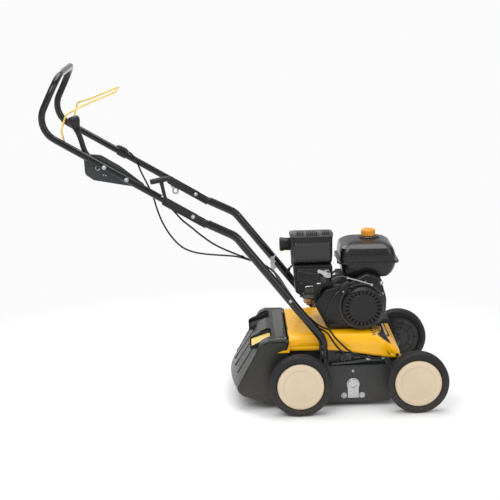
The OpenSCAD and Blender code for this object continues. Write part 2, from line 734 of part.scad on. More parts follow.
// ---- catcher ----
catcher_half = 212;
catcher_outline = rounded([[-416, 235], [-478, 236], [-502, 224], [-556, 134], [-604, 70], [-566, 52],
    [-502, 24],
                          [-416, 24]], 9, 3);
catcher_inner = rounded([[-400, 232], [-477, 233], [-500, 222], [-553, 135], [-600, 71], [-565, 55],
    [-501, 27],
                        [-400, 27]], 7, 3);
module catcher_box() {
  t = 3;
  color(BROWN_GREY) difference() {
    slab(-catcher_half, catcher_half) polygon(catcher_outline);
    slab(-catcher_half + t, catcher_half - t) polygon(catcher_inner);
    // hand grips cut into the top rear edge
    for (side = [-1, 1]) mirror_y(side) box([-534, 62, 196], [-464, 180, 240]);
  }
}
// Plate behind the right-hand grip
module catcher_panel() {
  // sloping floor of the grip on the operator's right
  color([0.9, 0.78, 0.45]) slab(-178, -64) polygon([[-466, 217], [-466, 220], [-529, 199], [-529, 196]]);
}

// ---- cables: routes chosen so that they hang clear of the moving parts ----
clutch_route = [[-929, 197, 805], [-916, 196, 792], [-903, 197, 768], [-888, 201, 728], [-868, 203, 684],
                [-853, 201, 648], [-841, 196, 605], [-827, 190, 566], [-807, 185, 527], [-785, 180, 497],
                [-758, 175, 471], [-724, 170, 455], [-681, 162, 447], [-626, 152, 443], [-571, 142, 439],
                [-520, 132, 425], [-482, 128, 413], [-448, 118, 390], [-430, 60, 372], [-414, -30, 362],
                [-400, -110, 350], [-382, -170, 332], [-356, -188, 308], [-332, -190, 286],
                    [-310, -187, 265],
                [-290, -190, 252], [-281, -199, 247], [-273, -203, 234], [-262, -205, 216],
                    [-246, -206, 196],
                [-228, -205, 180]];
depth_route = [[-865, -195.2, 749], [-848, -195.2, 737], [-818, -195.5, 716], [-790, -194, 690],
    [-767, -190, 665],
               [-742, -180, 633], [-711, -160, 602], [-684, -120, 569], [-645, -75, 530], [-603, -30, 498],
               [-551, 15, 465], [-512, 55, 438], [-484, 84, 418], [-454, 92, 402], [-430, 40, 386],
               [-408, -50, 366], [-386, -130, 346], [-364, -172, 322], [-340, -182, 298], [-316, -179, 276],
               [-294, -179, 262], [-278, -188, 258], [-269, -199, 249], [-260, -204, 236],
                   [-240, -206, 214],
               [-214, -207, 190], [-180, -207, 172], [-140, -205, 163], [-108, -204, 161]];
module clutch_cable() { color(BLACK) cable(clutch_route, 3, 3); }
module depth_cable() { color(BLACK) cable(depth_route, 3, 3); }
module cable_clips() {
  color(ZINC) {
    // spring clip on the left lower tube
    box([-449, handle_y - lower_r - 8, 372], [-439, handle_y - lower_r - 5, 422]);
    disc(-444, 415, handle_y - lower_r - 6, handle_y - lower_r - seat, 4);
    disc(-444, 415, handle_y - lower_r - 12, handle_y - lower_r - 7, 6);
  }
}

place() chassis_deck();
place() hood_cover();
place() rear_axle();
place() bearing_flanges();
place() fasteners();
place() belt_guard();
place() drive_belt();
place() crankcase();
place() cylinder_head();
place() blower_shroud();
place() recoil_cover();
place() fuel_tank();
place() fuel_cap();
place() air_filter_base();
place() air_filter_lid();
place() carb_cover();
place() carburettor();
place() carb_bowl();
place() muffler();
place() muffler_guard();
place() spark_plug_boot();
place() control_bracket();
place() throttle_lever();
place() starter_grip();
place() starter_rope();
place() lower_handle(1);  // lower_handle_left
place() lower_handle(-1);  // lower_handle_right
place() fold_brackets();
place() cable_clips();
place() clutch_cable();
place() depth_cable();
place() front_axle();
place() rotor_shaft();
place() rotor_blades();
place() rotor_pulley();
place() engine_pulley();
place() idler_arm();
place() idler_pulley();
place() upper_handle_tube();
place() quadrant_plate();
place() handle_fittings();
place() depth_lever();
place() bail_wire();
place() clamp_lever_left();
place() clamp_lever_right();
place() catcher_box();
place() catcher_panel();
place() wheel_at(0, 1) tyre();  // tyre_front_left
place() wheel_at(0, 1) rim();  // rim_front_left
place() wheel_at(0, 1) cap();  // cap_front_left
place() wheel_at(0, -1) tyre();  // tyre_front_right
place() wheel_at(0, -1) rim();  // rim_front_right
place() wheel_at(0, -1) cap();  // cap_front_right
place() wheel_at(rear_x, 1) tyre();  // tyre_rear_left
place() wheel_at(rear_x, 1) rim();  // rim_rear_left
place() wheel_at(rear_x, 1) cap();  // cap_rear_left
place() wheel_at(rear_x, -1) tyre();  // tyre_rear_right
place() wheel_at(rear_x, -1) rim();  // rim_rear_right
place() wheel_at(rear_x, -1) cap();  // cap_rear_right
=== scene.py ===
import json
import math

import bmesh
import bpy
from mathutils import Matrix, Vector
from mathutils.bvhtree import BVHTree


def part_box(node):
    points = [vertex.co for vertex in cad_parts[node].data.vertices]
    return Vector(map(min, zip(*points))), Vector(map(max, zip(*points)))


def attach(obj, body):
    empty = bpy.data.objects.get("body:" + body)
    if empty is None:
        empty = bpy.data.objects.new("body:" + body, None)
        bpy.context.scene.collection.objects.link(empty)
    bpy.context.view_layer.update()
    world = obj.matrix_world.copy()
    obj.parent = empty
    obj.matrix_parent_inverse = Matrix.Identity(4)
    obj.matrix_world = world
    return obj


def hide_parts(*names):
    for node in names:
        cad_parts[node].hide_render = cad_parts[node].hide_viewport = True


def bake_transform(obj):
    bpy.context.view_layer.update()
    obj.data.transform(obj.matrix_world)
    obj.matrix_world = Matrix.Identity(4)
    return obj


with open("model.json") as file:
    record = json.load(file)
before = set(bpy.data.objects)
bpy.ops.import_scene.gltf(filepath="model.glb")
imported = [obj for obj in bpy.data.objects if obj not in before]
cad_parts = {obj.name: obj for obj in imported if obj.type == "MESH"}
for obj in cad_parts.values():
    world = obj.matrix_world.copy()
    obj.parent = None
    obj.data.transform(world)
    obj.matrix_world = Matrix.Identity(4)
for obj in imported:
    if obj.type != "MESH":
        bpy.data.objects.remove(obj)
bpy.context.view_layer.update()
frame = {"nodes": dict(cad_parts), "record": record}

MM = 0.001
AXLE = (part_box("tyre_front_left")[0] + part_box("tyre_front_left")[1]) / 2     # front wheel centre
SLOT = {s["node"]: s["material_slot"] for s in frame["record"]["subparts"]}
WHEEL_R, WHEEL_Y, WHEELBASE = 100, 277, 378                                     # machine millimetres
BODY = {n: b for b, nodes in frame["record"]["behaviour"]["bodies"].items() for n in nodes}


def at(x, y, z):
    """Machine millimetres (x from the front axle, y from the middle, z from the ground) to the frame's metres."""
    return Vector((AXLE.x + x * MM, y * MM, z * MM))


# ---------------------------------------------------------------- camera
def make_camera():
    eye = at(-581.2, -4657.2, 1472.7)
    yaw, pitch, roll = math.radians(0.69), math.radians(11.91), math.radians(-1.53)
    ahead = Vector((math.sin(yaw), math.cos(yaw), 0))
    right = Vector((math.cos(yaw), -math.sin(yaw), 0))
    up = Vector((0, 0, 1))
    view = ahead * math.cos(pitch) - up * math.sin(pitch)
    top = up * math.cos(pitch) + ahead * math.sin(pitch)
    right, top = right * math.cos(roll) + top * math.sin(roll), top * math.cos(roll) - right * math.sin(roll)
    data = bpy.data.cameras.new("camera")
    data.sensor_width = 36
    data.lens = 102.44
    camera = bpy.data.objects.new("camera", data)
    rotation = Matrix((right, top, -view)).transposed().to_4x4()
    camera.matrix_world = Matrix.Translation(eye) @ rotation
    bpy.context.scene.collection.objects.link(camera)
    bpy.context.scene.camera = camera


# ---------------------------------------------------------------- materials
def srgb(r, g, b):
    """8-bit display colour to linear RGBA."""
    return tuple((c / 255 / 12.92) if c <= 10 else ((c / 255 + 0.055) / 1.055) ** 2.4 for c in (r, g, b)) + (1.0,)


def link(tree, a, b):
    tree.links.new(a, b)


def noise(tree, scale, detail=4.0, stretch=(1, 1, 1)):
    coord = tree.nodes.new("ShaderNodeTexCoord")
    mapping = tree.nodes.new("ShaderNodeMapping")
    mapping.inputs["Scale"].default_value = stretch
    tex = tree.nodes.new("ShaderNodeTexNoise")
    tex.inputs["Scale"].default_value = scale
    tex.inputs["Detail"].default_value = detail
    link(tree, coord.outputs["Object"], mapping.inputs["Vector"])
    link(tree, mapping.outputs["Vector"], tex.inputs["Vector"])
    return tex.outputs["Fac"]


def remap(tree, value, low, high, to_low, to_high):
    node = tree.nodes.new("ShaderNodeMapRange")
    for key, number in (("From Min", low), ("From Max", high), ("To Min", to_low), ("To Max", to_high)):
        node.inputs[key].default_value = number
    link(tree, value, node.inputs["Value"])
    return node.outputs["Result"]


def mix(tree, factor, a, b):
    node = tree.nodes.new("ShaderNodeMix")
    node.data_type = "RGBA"
    for socket, value in ((node.inputs[0], factor), (node.inputs[6], a), (node.inputs[7], b)):
        if isinstance(value, (tuple, float, int)):
            socket.default_value = value
        else:
            link(tree, value, socket)
    return node.outputs[2]


def shade(color, factor):
    return tuple(min(1.0, c * factor) for c in color[:3]) + (1.0,)


def make_material(name, color, rough, metal=0.0, spread=0.12, rough_spread=0.08, grain=0.0, grain_scale=900,
                  ripple=0.0, coat=0.0, wear=0.0, wear_color=None, dust=0.0, stretch=(1, 1, 1), specular=0.5):
    """Procedural finish: mottled colour, uneven gloss, moulded or cast grain, worn edges and dust low down."""
    mat = bpy.data.materials.new(name)
    mat.use_nodes = True
    tree = mat.node_tree
    shader = tree.nodes["Principled BSDF"]
    shader.inputs["Metallic"].default_value = metal
    shader.inputs["Specular IOR Level"].default_value = specular
    shader.inputs["Coat Weight"].default_value = coat
    shader.inputs["Coat Roughness"].default_value = 0.08
    patches = noise(tree, 14, 5)
    tint = mix(tree, remap(tree, patches, 0.3, 0.7, 0.0, 1.0), shade(color, 1 - spread), shade(color, 1 + spread))
    fine = noise(tree, 120, 6, stretch)
    if wear:
        bevel = tree.nodes.new("ShaderNodeBevel")
        bevel.samples = 4
        bevel.inputs["Radius"].default_value = 0.0016
        geometry = tree.nodes.new("ShaderNodeNewGeometry")
        dot = tree.nodes.new("ShaderNodeVectorMath")
        dot.operation = "DOT_PRODUCT"
        link(tree, bevel.outputs["Normal"], dot.inputs[0])
        link(tree, geometry.outputs["Normal"], dot.inputs[1])
        edge = remap(tree, dot.outputs["Value"], 0.98, 0.75, 0.0, wear)
        broken = tree.nodes.new("ShaderNodeMath")
        broken.operation = "MULTIPLY"
        link(tree, edge, broken.inputs[0])
        link(tree, remap(tree, fine, 0.42, 0.62, 0.0, 1.0), broken.inputs[1])
        tint = mix(tree, broken.outputs[0], tint, wear_color or shade(color, 2.4))
    if dust:
        geometry = tree.nodes.new("ShaderNodeNewGeometry")
        split = tree.nodes.new("ShaderNodeSeparateXYZ")
        link(tree, geometry.outputs["Position"], split.inputs[0])
        low = remap(tree, split.outputs["Z"], 0.16, 0.0, 0.0, dust)
        speck = tree.nodes.new("ShaderNodeMath")
        speck.operation = "MULTIPLY"
        link(tree, low, speck.inputs[0])
        link(tree, remap(tree, fine, 0.35, 0.7, 0.2, 1.0), speck.inputs[1])
        tint = mix(tree, speck.outputs[0], tint, srgb(120, 108, 88))
    link(tree, tint, shader.inputs["Base Color"])
    link(tree, remap(tree, fine, 0.3, 0.7, max(0.02, rough - rough_spread), rough + rough_spread),
         shader.inputs["Roughness"])
    if grain or ripple:
        bump = tree.nodes.new("ShaderNodeBump")
        bump.inputs["Distance"].default_value = 0.0004
        bump.inputs["Strength"].default_value = max(grain, ripple)
        source = noise(tree, grain_scale, 3) if grain else noise(tree, 60, 2, stretch)
        link(tree, source, bump.inputs["Height"])
        link(tree, bump.outputs["Normal"], shader.inputs["Normal"])
    return mat


STEEL_EDGE = srgb(150, 150, 152)
MATERIALS = {
    "gloss_black_tube": dict(color=srgb(9, 9, 10), rough=0.2, coat=0.35, ripple=0.12, spread=0.25, specular=0.35),
    "chassis_paint": dict(color=srgb(40, 43, 45), rough=0.42, grain=0.1, grain_scale=500, wear=0.5,
                          wear_color=srgb(120, 122, 124), dust=0.25),
    "chassis_gloss": dict(color=srgb(24, 25, 27), rough=0.26, coat=0.3, spread=0.2, wear=0.4),
    "yellow_cover": dict(color=srgb(255, 186, 0), rough=0.3, coat=0.15, ripple=0.06, spread=0.04, rough_spread=0.05,
                         wear=0.12, wear_color=srgb(255, 225, 120)),
    "collector_plastic": dict(color=srgb(37, 36, 34), rough=0.36, grain=0.18, grain_scale=1400, spread=0.1, dust=0.2),
    "collector_gloss": dict(color=srgb(34, 33, 31), rough=0.22, coat=0.35, grain=0.08, grain_scale=1400, spread=0.1,
                            dust=0.15),
    "panel_yellow": dict(color=srgb(228, 196, 112), rough=0.45, spread=0.1),
    "zinc_steel": dict(color=srgb(190, 192, 194), rough=0.3, metal=0.9, spread=0.18, rough_spread=0.12),
    "rotor_steel": dict(color=srgb(54, 52, 50), rough=0.45, metal=0.7, spread=0.3, wear=0.8, wear_color=STEEL_EDGE,
                        dust=0.25),
    "engine_casting": dict(color=srgb(24, 24, 25), rough=0.5, grain=0.5, grain_scale=700, spread=0.2, wear=0.2),
    "head_casting": dict(color=srgb(110, 108, 105), rough=0.5, metal=0.6, grain=0.5, grain_scale=700, spread=0.25),
    "engine_sheet": dict(color=srgb(17, 17, 18), rough=0.32, ripple=0.1, spread=0.2, wear=0.2, specular=0.4),
    "engine_plastic": dict(color=srgb(22, 22, 24), rough=0.42, grain=0.25, grain_scale=1500, spread=0.15, wear=0.12,
                           specular=0.4),
    "engine_gloss": dict(color=srgb(24, 24, 26), rough=0.24, coat=0.3, spread=0.15),
    "tank_plastic": dict(color=srgb(19, 19, 20), rough=0.28, grain=0.1, grain_scale=900, spread=0.2, coat=0.2,
                         specular=0.4),
    "filter_lid_grey": dict(color=srgb(74, 74, 77), rough=0.42, grain=0.3, grain_scale=1300, spread=0.12),
    "brass_bowl": dict(color=srgb(176, 140, 104), rough=0.3, metal=0.8, spread=0.2, rough_spread=0.12),
    "muffler_steel": dict(color=srgb(46, 42, 38), rough=0.55, metal=0.4, spread=0.35, grain=0.2),
    "rubber_black": dict(color=srgb(14, 14, 14), rough=0.6, grain=0.2, specular=0.3),
    "belt_rubber": dict(color=srgb(26, 26, 26), rough=0.7, grain=0.3),
    "cable_sheath": dict(color=srgb(10, 10, 12), rough=0.4, ripple=0.1, specular=0.35),
    "bail_yellow": dict(color=srgb(232, 192, 84), rough=0.3, coat=0.3, spread=0.12, ripple=0.1),
    "control_plastic": dict(color=srgb(20, 20, 23), rough=0.42, grain=0.25, grain_scale=1400, spread=0.15,
                            specular=0.4),
    "quadrant_slate": dict(color=srgb(42, 49, 51), rough=0.36, grain=0.15, grain_scale=1200, spread=0.12),
    "cap_orange": dict(color=srgb(222, 146, 32), rough=0.38, grain=0.1, spread=0.12),
    "starter_cord": dict(color=srgb(150, 125, 90), rough=0.8, grain=0.6, grain_scale=1800),
    "tyre": dict(color=srgb(23, 23, 26), rough=0.6, grain=0.3, grain_scale=900, spread=0.18, dust=0.25,
                 wear=0.25, wear_color=srgb(70, 68, 66), specular=0.4),
    "rim_plastic": dict(color=srgb(32, 33, 35), rough=0.45, grain=0.15, spread=0.15, dust=0.2),
    "label_grey": dict(color=srgb(196, 198, 204), rough=0.4, spread=0.06),
    "label_blue": dict(color=srgb(112, 150, 186), rough=0.4, spread=0.08),
    "cap_cream": dict(color=srgb(212, 194, 166), rough=0.45, grain=0.06, spread=0.04, dust=0.12),
}
MADE = {}


def finish_for(slot):
    if slot not in MADE:
        MADE[slot] = make_material(slot, **MATERIALS[slot])
    return MADE[slot]


# ---------------------------------------------------------------- mesh tools
def rounded_outline(points, radius, steps=6):
    """Closed 2D outline with each corner turned into an arc. radius is one number, or one per corner."""
    out = []
    count = len(points)
    for i, corner in enumerate(points):
        r = radius[i] if isinstance(radius, (list, tuple)) else radius
        b = Vector(corner)
        u = (Vector(points[i - 1]) - b)
        v = (Vector(points[(i + 1) % count]) - b)
        half = u.angle(v) / 2
        if r <= 0 or half > math.radians(89.5):
            out.append(b)
            continue
        cut = min(r / math.tan(half), 0.48 * u.length, 0.48 * v.length)
        r = cut * math.tan(half)
        u, v = u.normalized(), v.normalized()
        centre = b + (u + v).normalized() * r / math.sin(half)
        start, end = b + u * cut - centre, b + v * cut - centre
        a0 = math.atan2(start.y, start.x)
        sweep = (math.atan2(end.y, end.x) - a0 + 3 * math.pi) % (2 * math.pi) - math.pi
        out += [centre + r * Vector((math.cos(a0 + sweep * k / steps), math.sin(a0 + sweep * k / steps)))
                for k in range(steps + 1)]
    return out


def smooth_path(points, per=6):
    """Points on a smooth curve through the given ones."""
    pts = [Vector(p) for p in points]
    out = []
    for i in range(len(pts) - 1):
        a, b = pts[max(i - 1, 0)], pts[i]
        c, d = pts[i + 1], pts[min(i + 2, len(pts) - 1)]
        for k in range(per):
            t = k / per
            out.append(b + 0.5 * t * (c - a + t * (2 * a - 5 * b + 4 * c - d + t * (3 * (b - c) + d - a))))
    return out + [pts[-1]]


def bent_path(points, radii, steps=10):
    """Polyline whose corners are arcs of the given radii, in the points' own unit."""
    pts = [Vector(p) for p in points]
    out = [pts[0]]
    for i in range(1, len(pts) - 1):
        u, v = (pts[i] - pts[i - 1]).normalized(), (pts[i + 1] - pts[i]).normalized()
        turn = u.angle(v)
        if turn < 1e-4:
            out.append(pts[i])
            continue
        cut = radii[i] * math.tan(turn / 2)
        start = pts[i] - u * cut
        inward = (v - u * u.dot(v)).normalized()
        centre = start + inward * radii[i]
        for k in range(steps + 1):
            a = turn * k / steps
            out.append(centre - inward * radii[i] * math.cos(a) + u * radii[i] * math.sin(a))
    return out + [pts[-1]]


class Shape:
    """Collects simple forms, all in machine millimetres, into one mesh piece."""

    def __init__(self):
        self.bm = bmesh.new()

    def ring(self, points):
        return [self.bm.verts.new(at(*p)) for p in points]

    def bridge(self, rings, closed=True):
        for a, b in zip(rings, rings[1:]):
            n = len(a)
            for i in range(n if closed else n - 1):
                j = (i + 1) % n
                self.bm.faces.new((a[i], a[j], b[j], b[i]))

    def prism(self, outline, y0, y1, holes=()):
        """Solid between two planes across Y, from an XZ outline."""
        rings = [self.ring([(p[0], y, p[1]) for p in outline]) for y in (y0, y1)]
        self.bridge(rings)
        self.bm.faces.new(rings[0])
        self.bm.faces.new(rings[1][::-1])
        return self

    def plate_z(self, outline, z0, z1):
        rings = [self.ring([(p[0], p[1], z) for p in outline]) for z in (z0, z1)]
        self.bridge(rings)
        self.bm.faces.new(rings[0][::-1])
        self.bm.faces.new(rings[1])
        return self

    def box(self, lo, hi):
        return self.plate_z([(lo[0], lo[1]), (hi[0], lo[1]), (hi[0], hi[1]), (lo[0], hi[1])], lo[2], hi[2])

    def lathe(self, profile, origin, axis=(0, 1, 0), segments=48, close=False):
        """Turned form. profile is (radius, distance along axis) pairs; radius 0 closes an end."""
        axis = Vector(axis).normalized()
        side = axis.orthogonal().normalized()
        other = axis.cross(side)
        origin = Vector(origin)
        rings = []
        for r, h in profile:
            if r <= 1e-6:
                rings.append([self.bm.verts.new(at(*(origin + axis * h)))])
                continue
            rings.append(self.ring([
                origin + axis * h + r * (side * math.cos(2 * math.pi * k / segments)
                                         + other * math.sin(2 * math.pi * k / segments)) for k in range(segments)]))
        pairs = list(zip(rings, rings[1:])) + ([(rings[-1], rings[0])] if close else [])
        for a, b in pairs:
            for i in range(segments):
                j = (i + 1) % segments
                quad = (a[i % len(a)], a[j % len(a)], b[j % len(b)], b[i % len(b)])
                corners = list(dict.fromkeys(quad))
                if len(corners) > 2:
                    self.bm.faces.new(corners)
        return self

    def tube(self, path, radius, sides=16, caps=True):
        """Round bar along a path. radius is one number or one per point."""
        pts = [Vector(p) for p in path]
        last = len(pts) - 1
        direction = (pts[1] - pts[0]).normalized()
        side = direction.orthogonal().normalized()
        rings = []
        for i, p in enumerate(pts):
            ahead = (pts[min(i + 1, last)] - pts[max(i - 1, 0)]).normalized()
            side = (side - ahead * side.dot(ahead)).normalized()
            other = ahead.cross(side)
            r = radius[i] if isinstance(radius, (list, tuple)) else radius
            rings.append(self.ring([p + r * (side * math.cos(2 * math.pi * k / sides)
                                             + other * math.sin(2 * math.pi * k / sides)) for k in range(sides)]))
        self.bridge(rings)
        if caps:
            self.bm.faces.new(rings[0][::-1])
            self.bm.faces.new(rings[-1])
        return self

    def piece(self, name, body, slot, replaces=(), bevel=0.0, segments=2, angle=35, subsurf=0, solidify=0.0,
              flat=False):
        """Turns the forms into an object that rides on a body."""
        bmesh.ops.recalc_face_normals(self.bm, faces=self.bm.faces)
        mesh = bpy.data.meshes.new(name)
        self.bm.to_mesh(mesh)
        self.bm.free()
        return dress(bpy.data.objects.new(name, mesh), body, slot, replaces, bevel, segments, angle, subsurf,
                     solidify, flat)


def dress(obj, body, slot, replaces=(), bevel=0.0, segments=2, angle=35, subsurf=0, solidify=0.0, flat=False):
    bpy.context.scene.collection.objects.link(obj)
    obj.data.materials.clear()
    obj.data.materials.append(finish_for(slot))
    for face in obj.data.polygons:
        face.use_smooth = not flat
    if not flat:
        obj.data.set_sharp_from_angle(angle=math.radians(angle))
    if solidify:
        mod = obj.modifiers.new("wall", "SOLIDIFY")
        mod.thickness = solidify * MM
        mod.offset = -1
    if bevel:
        mod = obj.modifiers.new("edges", "BEVEL")
        mod.width = bevel * MM
        mod.segments = segments
        mod.limit_method = "ANGLE"
        mod.angle_limit = math.radians(angle)
        mod.harden_normals = True
    if subsurf:
        mod = obj.modifiers.new("round", "SUBSURF")
        mod.levels = mod.render_levels = subsurf
    if body:
        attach(obj, body)
    if replaces:
        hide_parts(*replaces)
    return obj


def refine(node, bevel=0.6, segments=2, angle=32, slot=None):
    """A CAD node's own shape with clean faces and softened edges."""
    source = frame["nodes"][node]
    bm = bmesh.new()
    bm.from_mesh(source.data)
    bmesh.ops.remove_doubles(bm, verts=bm.verts, dist=1e-6)
    bmesh.ops.dissolve_limit(bm, angle_limit=math.radians(0.6), verts=bm.verts, edges=bm.edges)
    mesh = bpy.data.meshes.new(node + "_fine")
    bm.to_mesh(mesh)
    bm.free()
    return dress(bpy.data.objects.new(node + "_fine", mesh), BODY[node], slot or SLOT[node], (node,), bevel,
                 segments, angle)


# ---------------------------------------------------------------- stage
def make_stage():
    """White paper floor that melts into a white surround, and soft lights."""
    scene = bpy.context.scene
    scene.view_settings.view_transform = "Standard"
    world = bpy.data.worlds.new("studio")
    world.use_nodes = True
    tree = world.node_tree
    background = tree.nodes["Background"]
    path = tree.nodes.new("ShaderNodeLightPath")
    seen = tree.nodes.new("ShaderNodeMapRange")
    seen.inputs["To Min"].default_value = 0.5
    seen.inputs["To Max"].default_value = 0.97
    link(tree, path.outputs["Is Camera Ray"], seen.inputs["Value"])
    link(tree, seen.outputs["Result"], background.inputs["Strength"])
    background.inputs["Color"].default_value = (1, 1, 1, 1)
    scene.world = world
    mesh = bpy.data.meshes.new("floor")
    size = 30
    mesh.from_pydata([(-size, -size, 0), (size, -size, 0), (size, size, 0), (-size, size, 0)], [], [(0, 1, 2, 3)])
    floor = bpy.data.objects.new("floor", mesh)
    scene.collection.objects.link(floor)
    mat = bpy.data.materials.new("floor_paper")
    mat.use_nodes = True
    tree = mat.node_tree
    paper = tree.nodes["Principled BSDF"]
    paper.inputs["Base Color"].default_value = (0.9, 0.9, 0.9, 1)
    paper.inputs["Roughness"].default_value = 0.95
    paper.inputs["Specular IOR Level"].default_value = 0.1
    glow = tree.nodes.new("ShaderNodeEmission")
    glow.inputs["Strength"].default_value = 0.97
    blend = tree.nodes.new("ShaderNodeMixShader")
    geometry = tree.nodes.new("ShaderNodeNewGeometry")
    distance = tree.nodes.new("ShaderNodeVectorMath")
    distance.operation = "LENGTH"
    link(tree, geometry.outputs["Position"], distance.inputs[0])
    link(tree, remap(tree, distance.outputs["Value"], 0.55, 1.5, 0.0, 1.0), blend.inputs[0])
    link(tree, paper.outputs[0], blend.inputs[1])
    link(tree, glow.outputs[0], blend.inputs[2])
    link(tree, blend.outputs[0], tree.nodes["Material Output"].inputs["Surface"])
    mesh.materials.append(mat)
    for name, place, energy, size in (("key", (-1.4, -3.0, 3.2), 70, 2.2), ("fill", (2.6, -2.6, 2.2), 30, 2.4),
                                      ("top", (0.0, 0.4, 3.4), 70, 2.6), ("rim", (-1.5, 3.0, 2.6), 35, 2.0)):
        data = bpy.data.lights.new(name, "AREA")
        data.energy = energy
        data.size = size
        lamp = bpy.data.objects.new(name, data)
        lamp.location = place
        lamp.rotation_euler = (Vector((0, 0, 0.4)) - Vector(place)).to_track_quat("-Z", "Y").to_euler()
        scene.collection.objects.link(lamp)


# ---------------------------------------------------------------- body panels
def make_hood():
    """Moulded cover: crowned top, rounded shoulders, a crease along each side and a sloping nose."""
    stations = [  # x, top, bottom, half width
        (-412, 236, 192, 194), (-410, 240, 192, 195), (-404, 242, 192, 195.6), (-360, 244, 192, 195.6),
        (-300, 245, 191, 195.6), (-262, 246, 190, 195.6), (-226, 246, 185, 195.6), (-190, 246, 179, 195.6),
        (-170, 246, 176, 195.6), (-150, 246, 172, 195.6), (-130, 245, 168.5, 195.6), (-118, 243, 167, 195.3),
        (-102, 237, 164, 195), (-88, 226, 161, 194), (-74, 212, 159, 192.5), (-60, 197, 158, 190),
        (-51, 186, 158, 187), (-46, 176, 159, 184), (-44, 166, 160, 182)]
    shape = Shape()
    rings = []
    for x, top, low, half in stations:
        drop = top - low
        side = [(0, top + 0.8), (60, top + 0.7), (120, top + 0.4), (158, top - 0.5), (176, top - 2), (187, top - 5),
                (194, top - 11), (197, top - 19), (198.4, low + 0.5 * (drop - 20)), (196.6, low + 0.42 * (drop - 20)),
                (199, low + 8), (199, low)]
        section = [(y * half / 199, max(z, low + (12 - i) * 0.05)) for i, (y, z) in enumerate(side)]
        ring = [(x, -y, z) for y, z in section[::-1]] + [(x, y, z) for y, z in section[1:]]
        rings.append(shape.ring(ring))
    shape.bridge(rings, closed=False)
    # the corner on the operator's right is flattened where the plate sits
    for vert in shape.bm.verts:
        depth = NOSE_NORMAL.dot(vert.co - at(*NOSE_POINT))
        if depth > 0 and vert.co.y < 0:
            vert.co -= NOSE_NORMAL * depth
    skin = BVHTree.FromBMesh(shape.bm)
    shape.piece("hood_shell", "chassis", "yellow_cover", ("hood_cover",), angle=40, solidify=3)
    bead = Shape()
    bead.tube([(-411, -193, 196), (-411, -192, 228), (-410, -180, 236), (-409, -100, 239), (-409, 100, 239),
               (-410, 180, 236), (-411, 192, 228), (-411, 193, 196)], 2.2, 8)
    bead.piece("hood_rear_bead", "chassis", "rubber_black")
    lip = Shape()
    for side in (-1, 1):
        y0, y1 = sorted((side * 212.4, side * 214.6))
        lip.prism([(-447, 191), (-409, 191), (-409, 200), (-424, 199), (-436, 196)], y0, y1)
        y0, y1 = sorted((side * 194, side * 214))
        lip.prism([(-415.4, 191), (-408, 191), (-408, 214), (-411, 214), (-414, 204)], y0, y1)
    lip.piece("hood_corner_lips", "chassis", "yellow_cover", bevel=0.8)
    screws = Shape()
    for side in (-1, 1):
        dome_screw(screws, (-56, side * 189, 166), (0, side, 0), 4)
    screws.piece("hood_screws", "chassis", "engine_plastic")
    # black strip across the nose: painted shade standing in for the shaded slot there, not a real trim part
    slot = Shape()
    slot.tube([(-76, -128, 214.6), (-78, 66, 215.6)], 2.4, 10)
    slot.piece("nose_slot_shade_strip", "chassis", "rubber_black")
    return skin


def dome_screw(shape, origin, axis, r):
    """Button-head screw with a washer under it."""
    shape.lathe([(0, 0), (r * 1.5, 0), (r * 1.5, 1), (r, 1), (r * 0.95, 2), (r * 0.7, 3.2), (r * 0.3, 3.8), (0, 3.9)],
                origin, axis, 20)


NOSE_POINT = (-139, -196, 246)            # point on the flattened corner of the nose
NOSE_NORMAL = Vector((0.595, -0.281, 0.753)).normalized()


def make_front_panel(skin):
    """Decal on the nose: dark border round a plain pale field, following the slope."""
    def patch(name, slot, x0, x1, y0, y1, lift):
        shape = Shape()
        columns, rows = 24, 12
        grid = []
        for i in range(columns + 1):
            y = y0 + (y1 - y0) * i / columns
            row = []
            for k in range(rows + 1):
                x, side = x0 + (x1 - x0) * k / rows, y
                spot = None
                while spot is None:
                    spot, normal = skin.ray_cast(at(x, side, 400), Vector((0, 0, -1)))[:2]
                    side += 1 if y < 0 else -1
                row.append(shape.bm.verts.new(spot + normal * math.copysign(lift * MM, normal.z)))
            grid.append(row)
        shape.bridge(grid, closed=False)
        shape.piece(name, "chassis", slot, angle=60, solidify=0.4)

    patch("nose_panel", "engine_plastic", -142, -79, -193.5, 70, 0.5)
    patch("nose_label_field", "label_grey", -124, -88, -191, -50, 0.9)
    patch("nose_label_accent", "label_blue", -137, -126, -191, -165, 0.9)


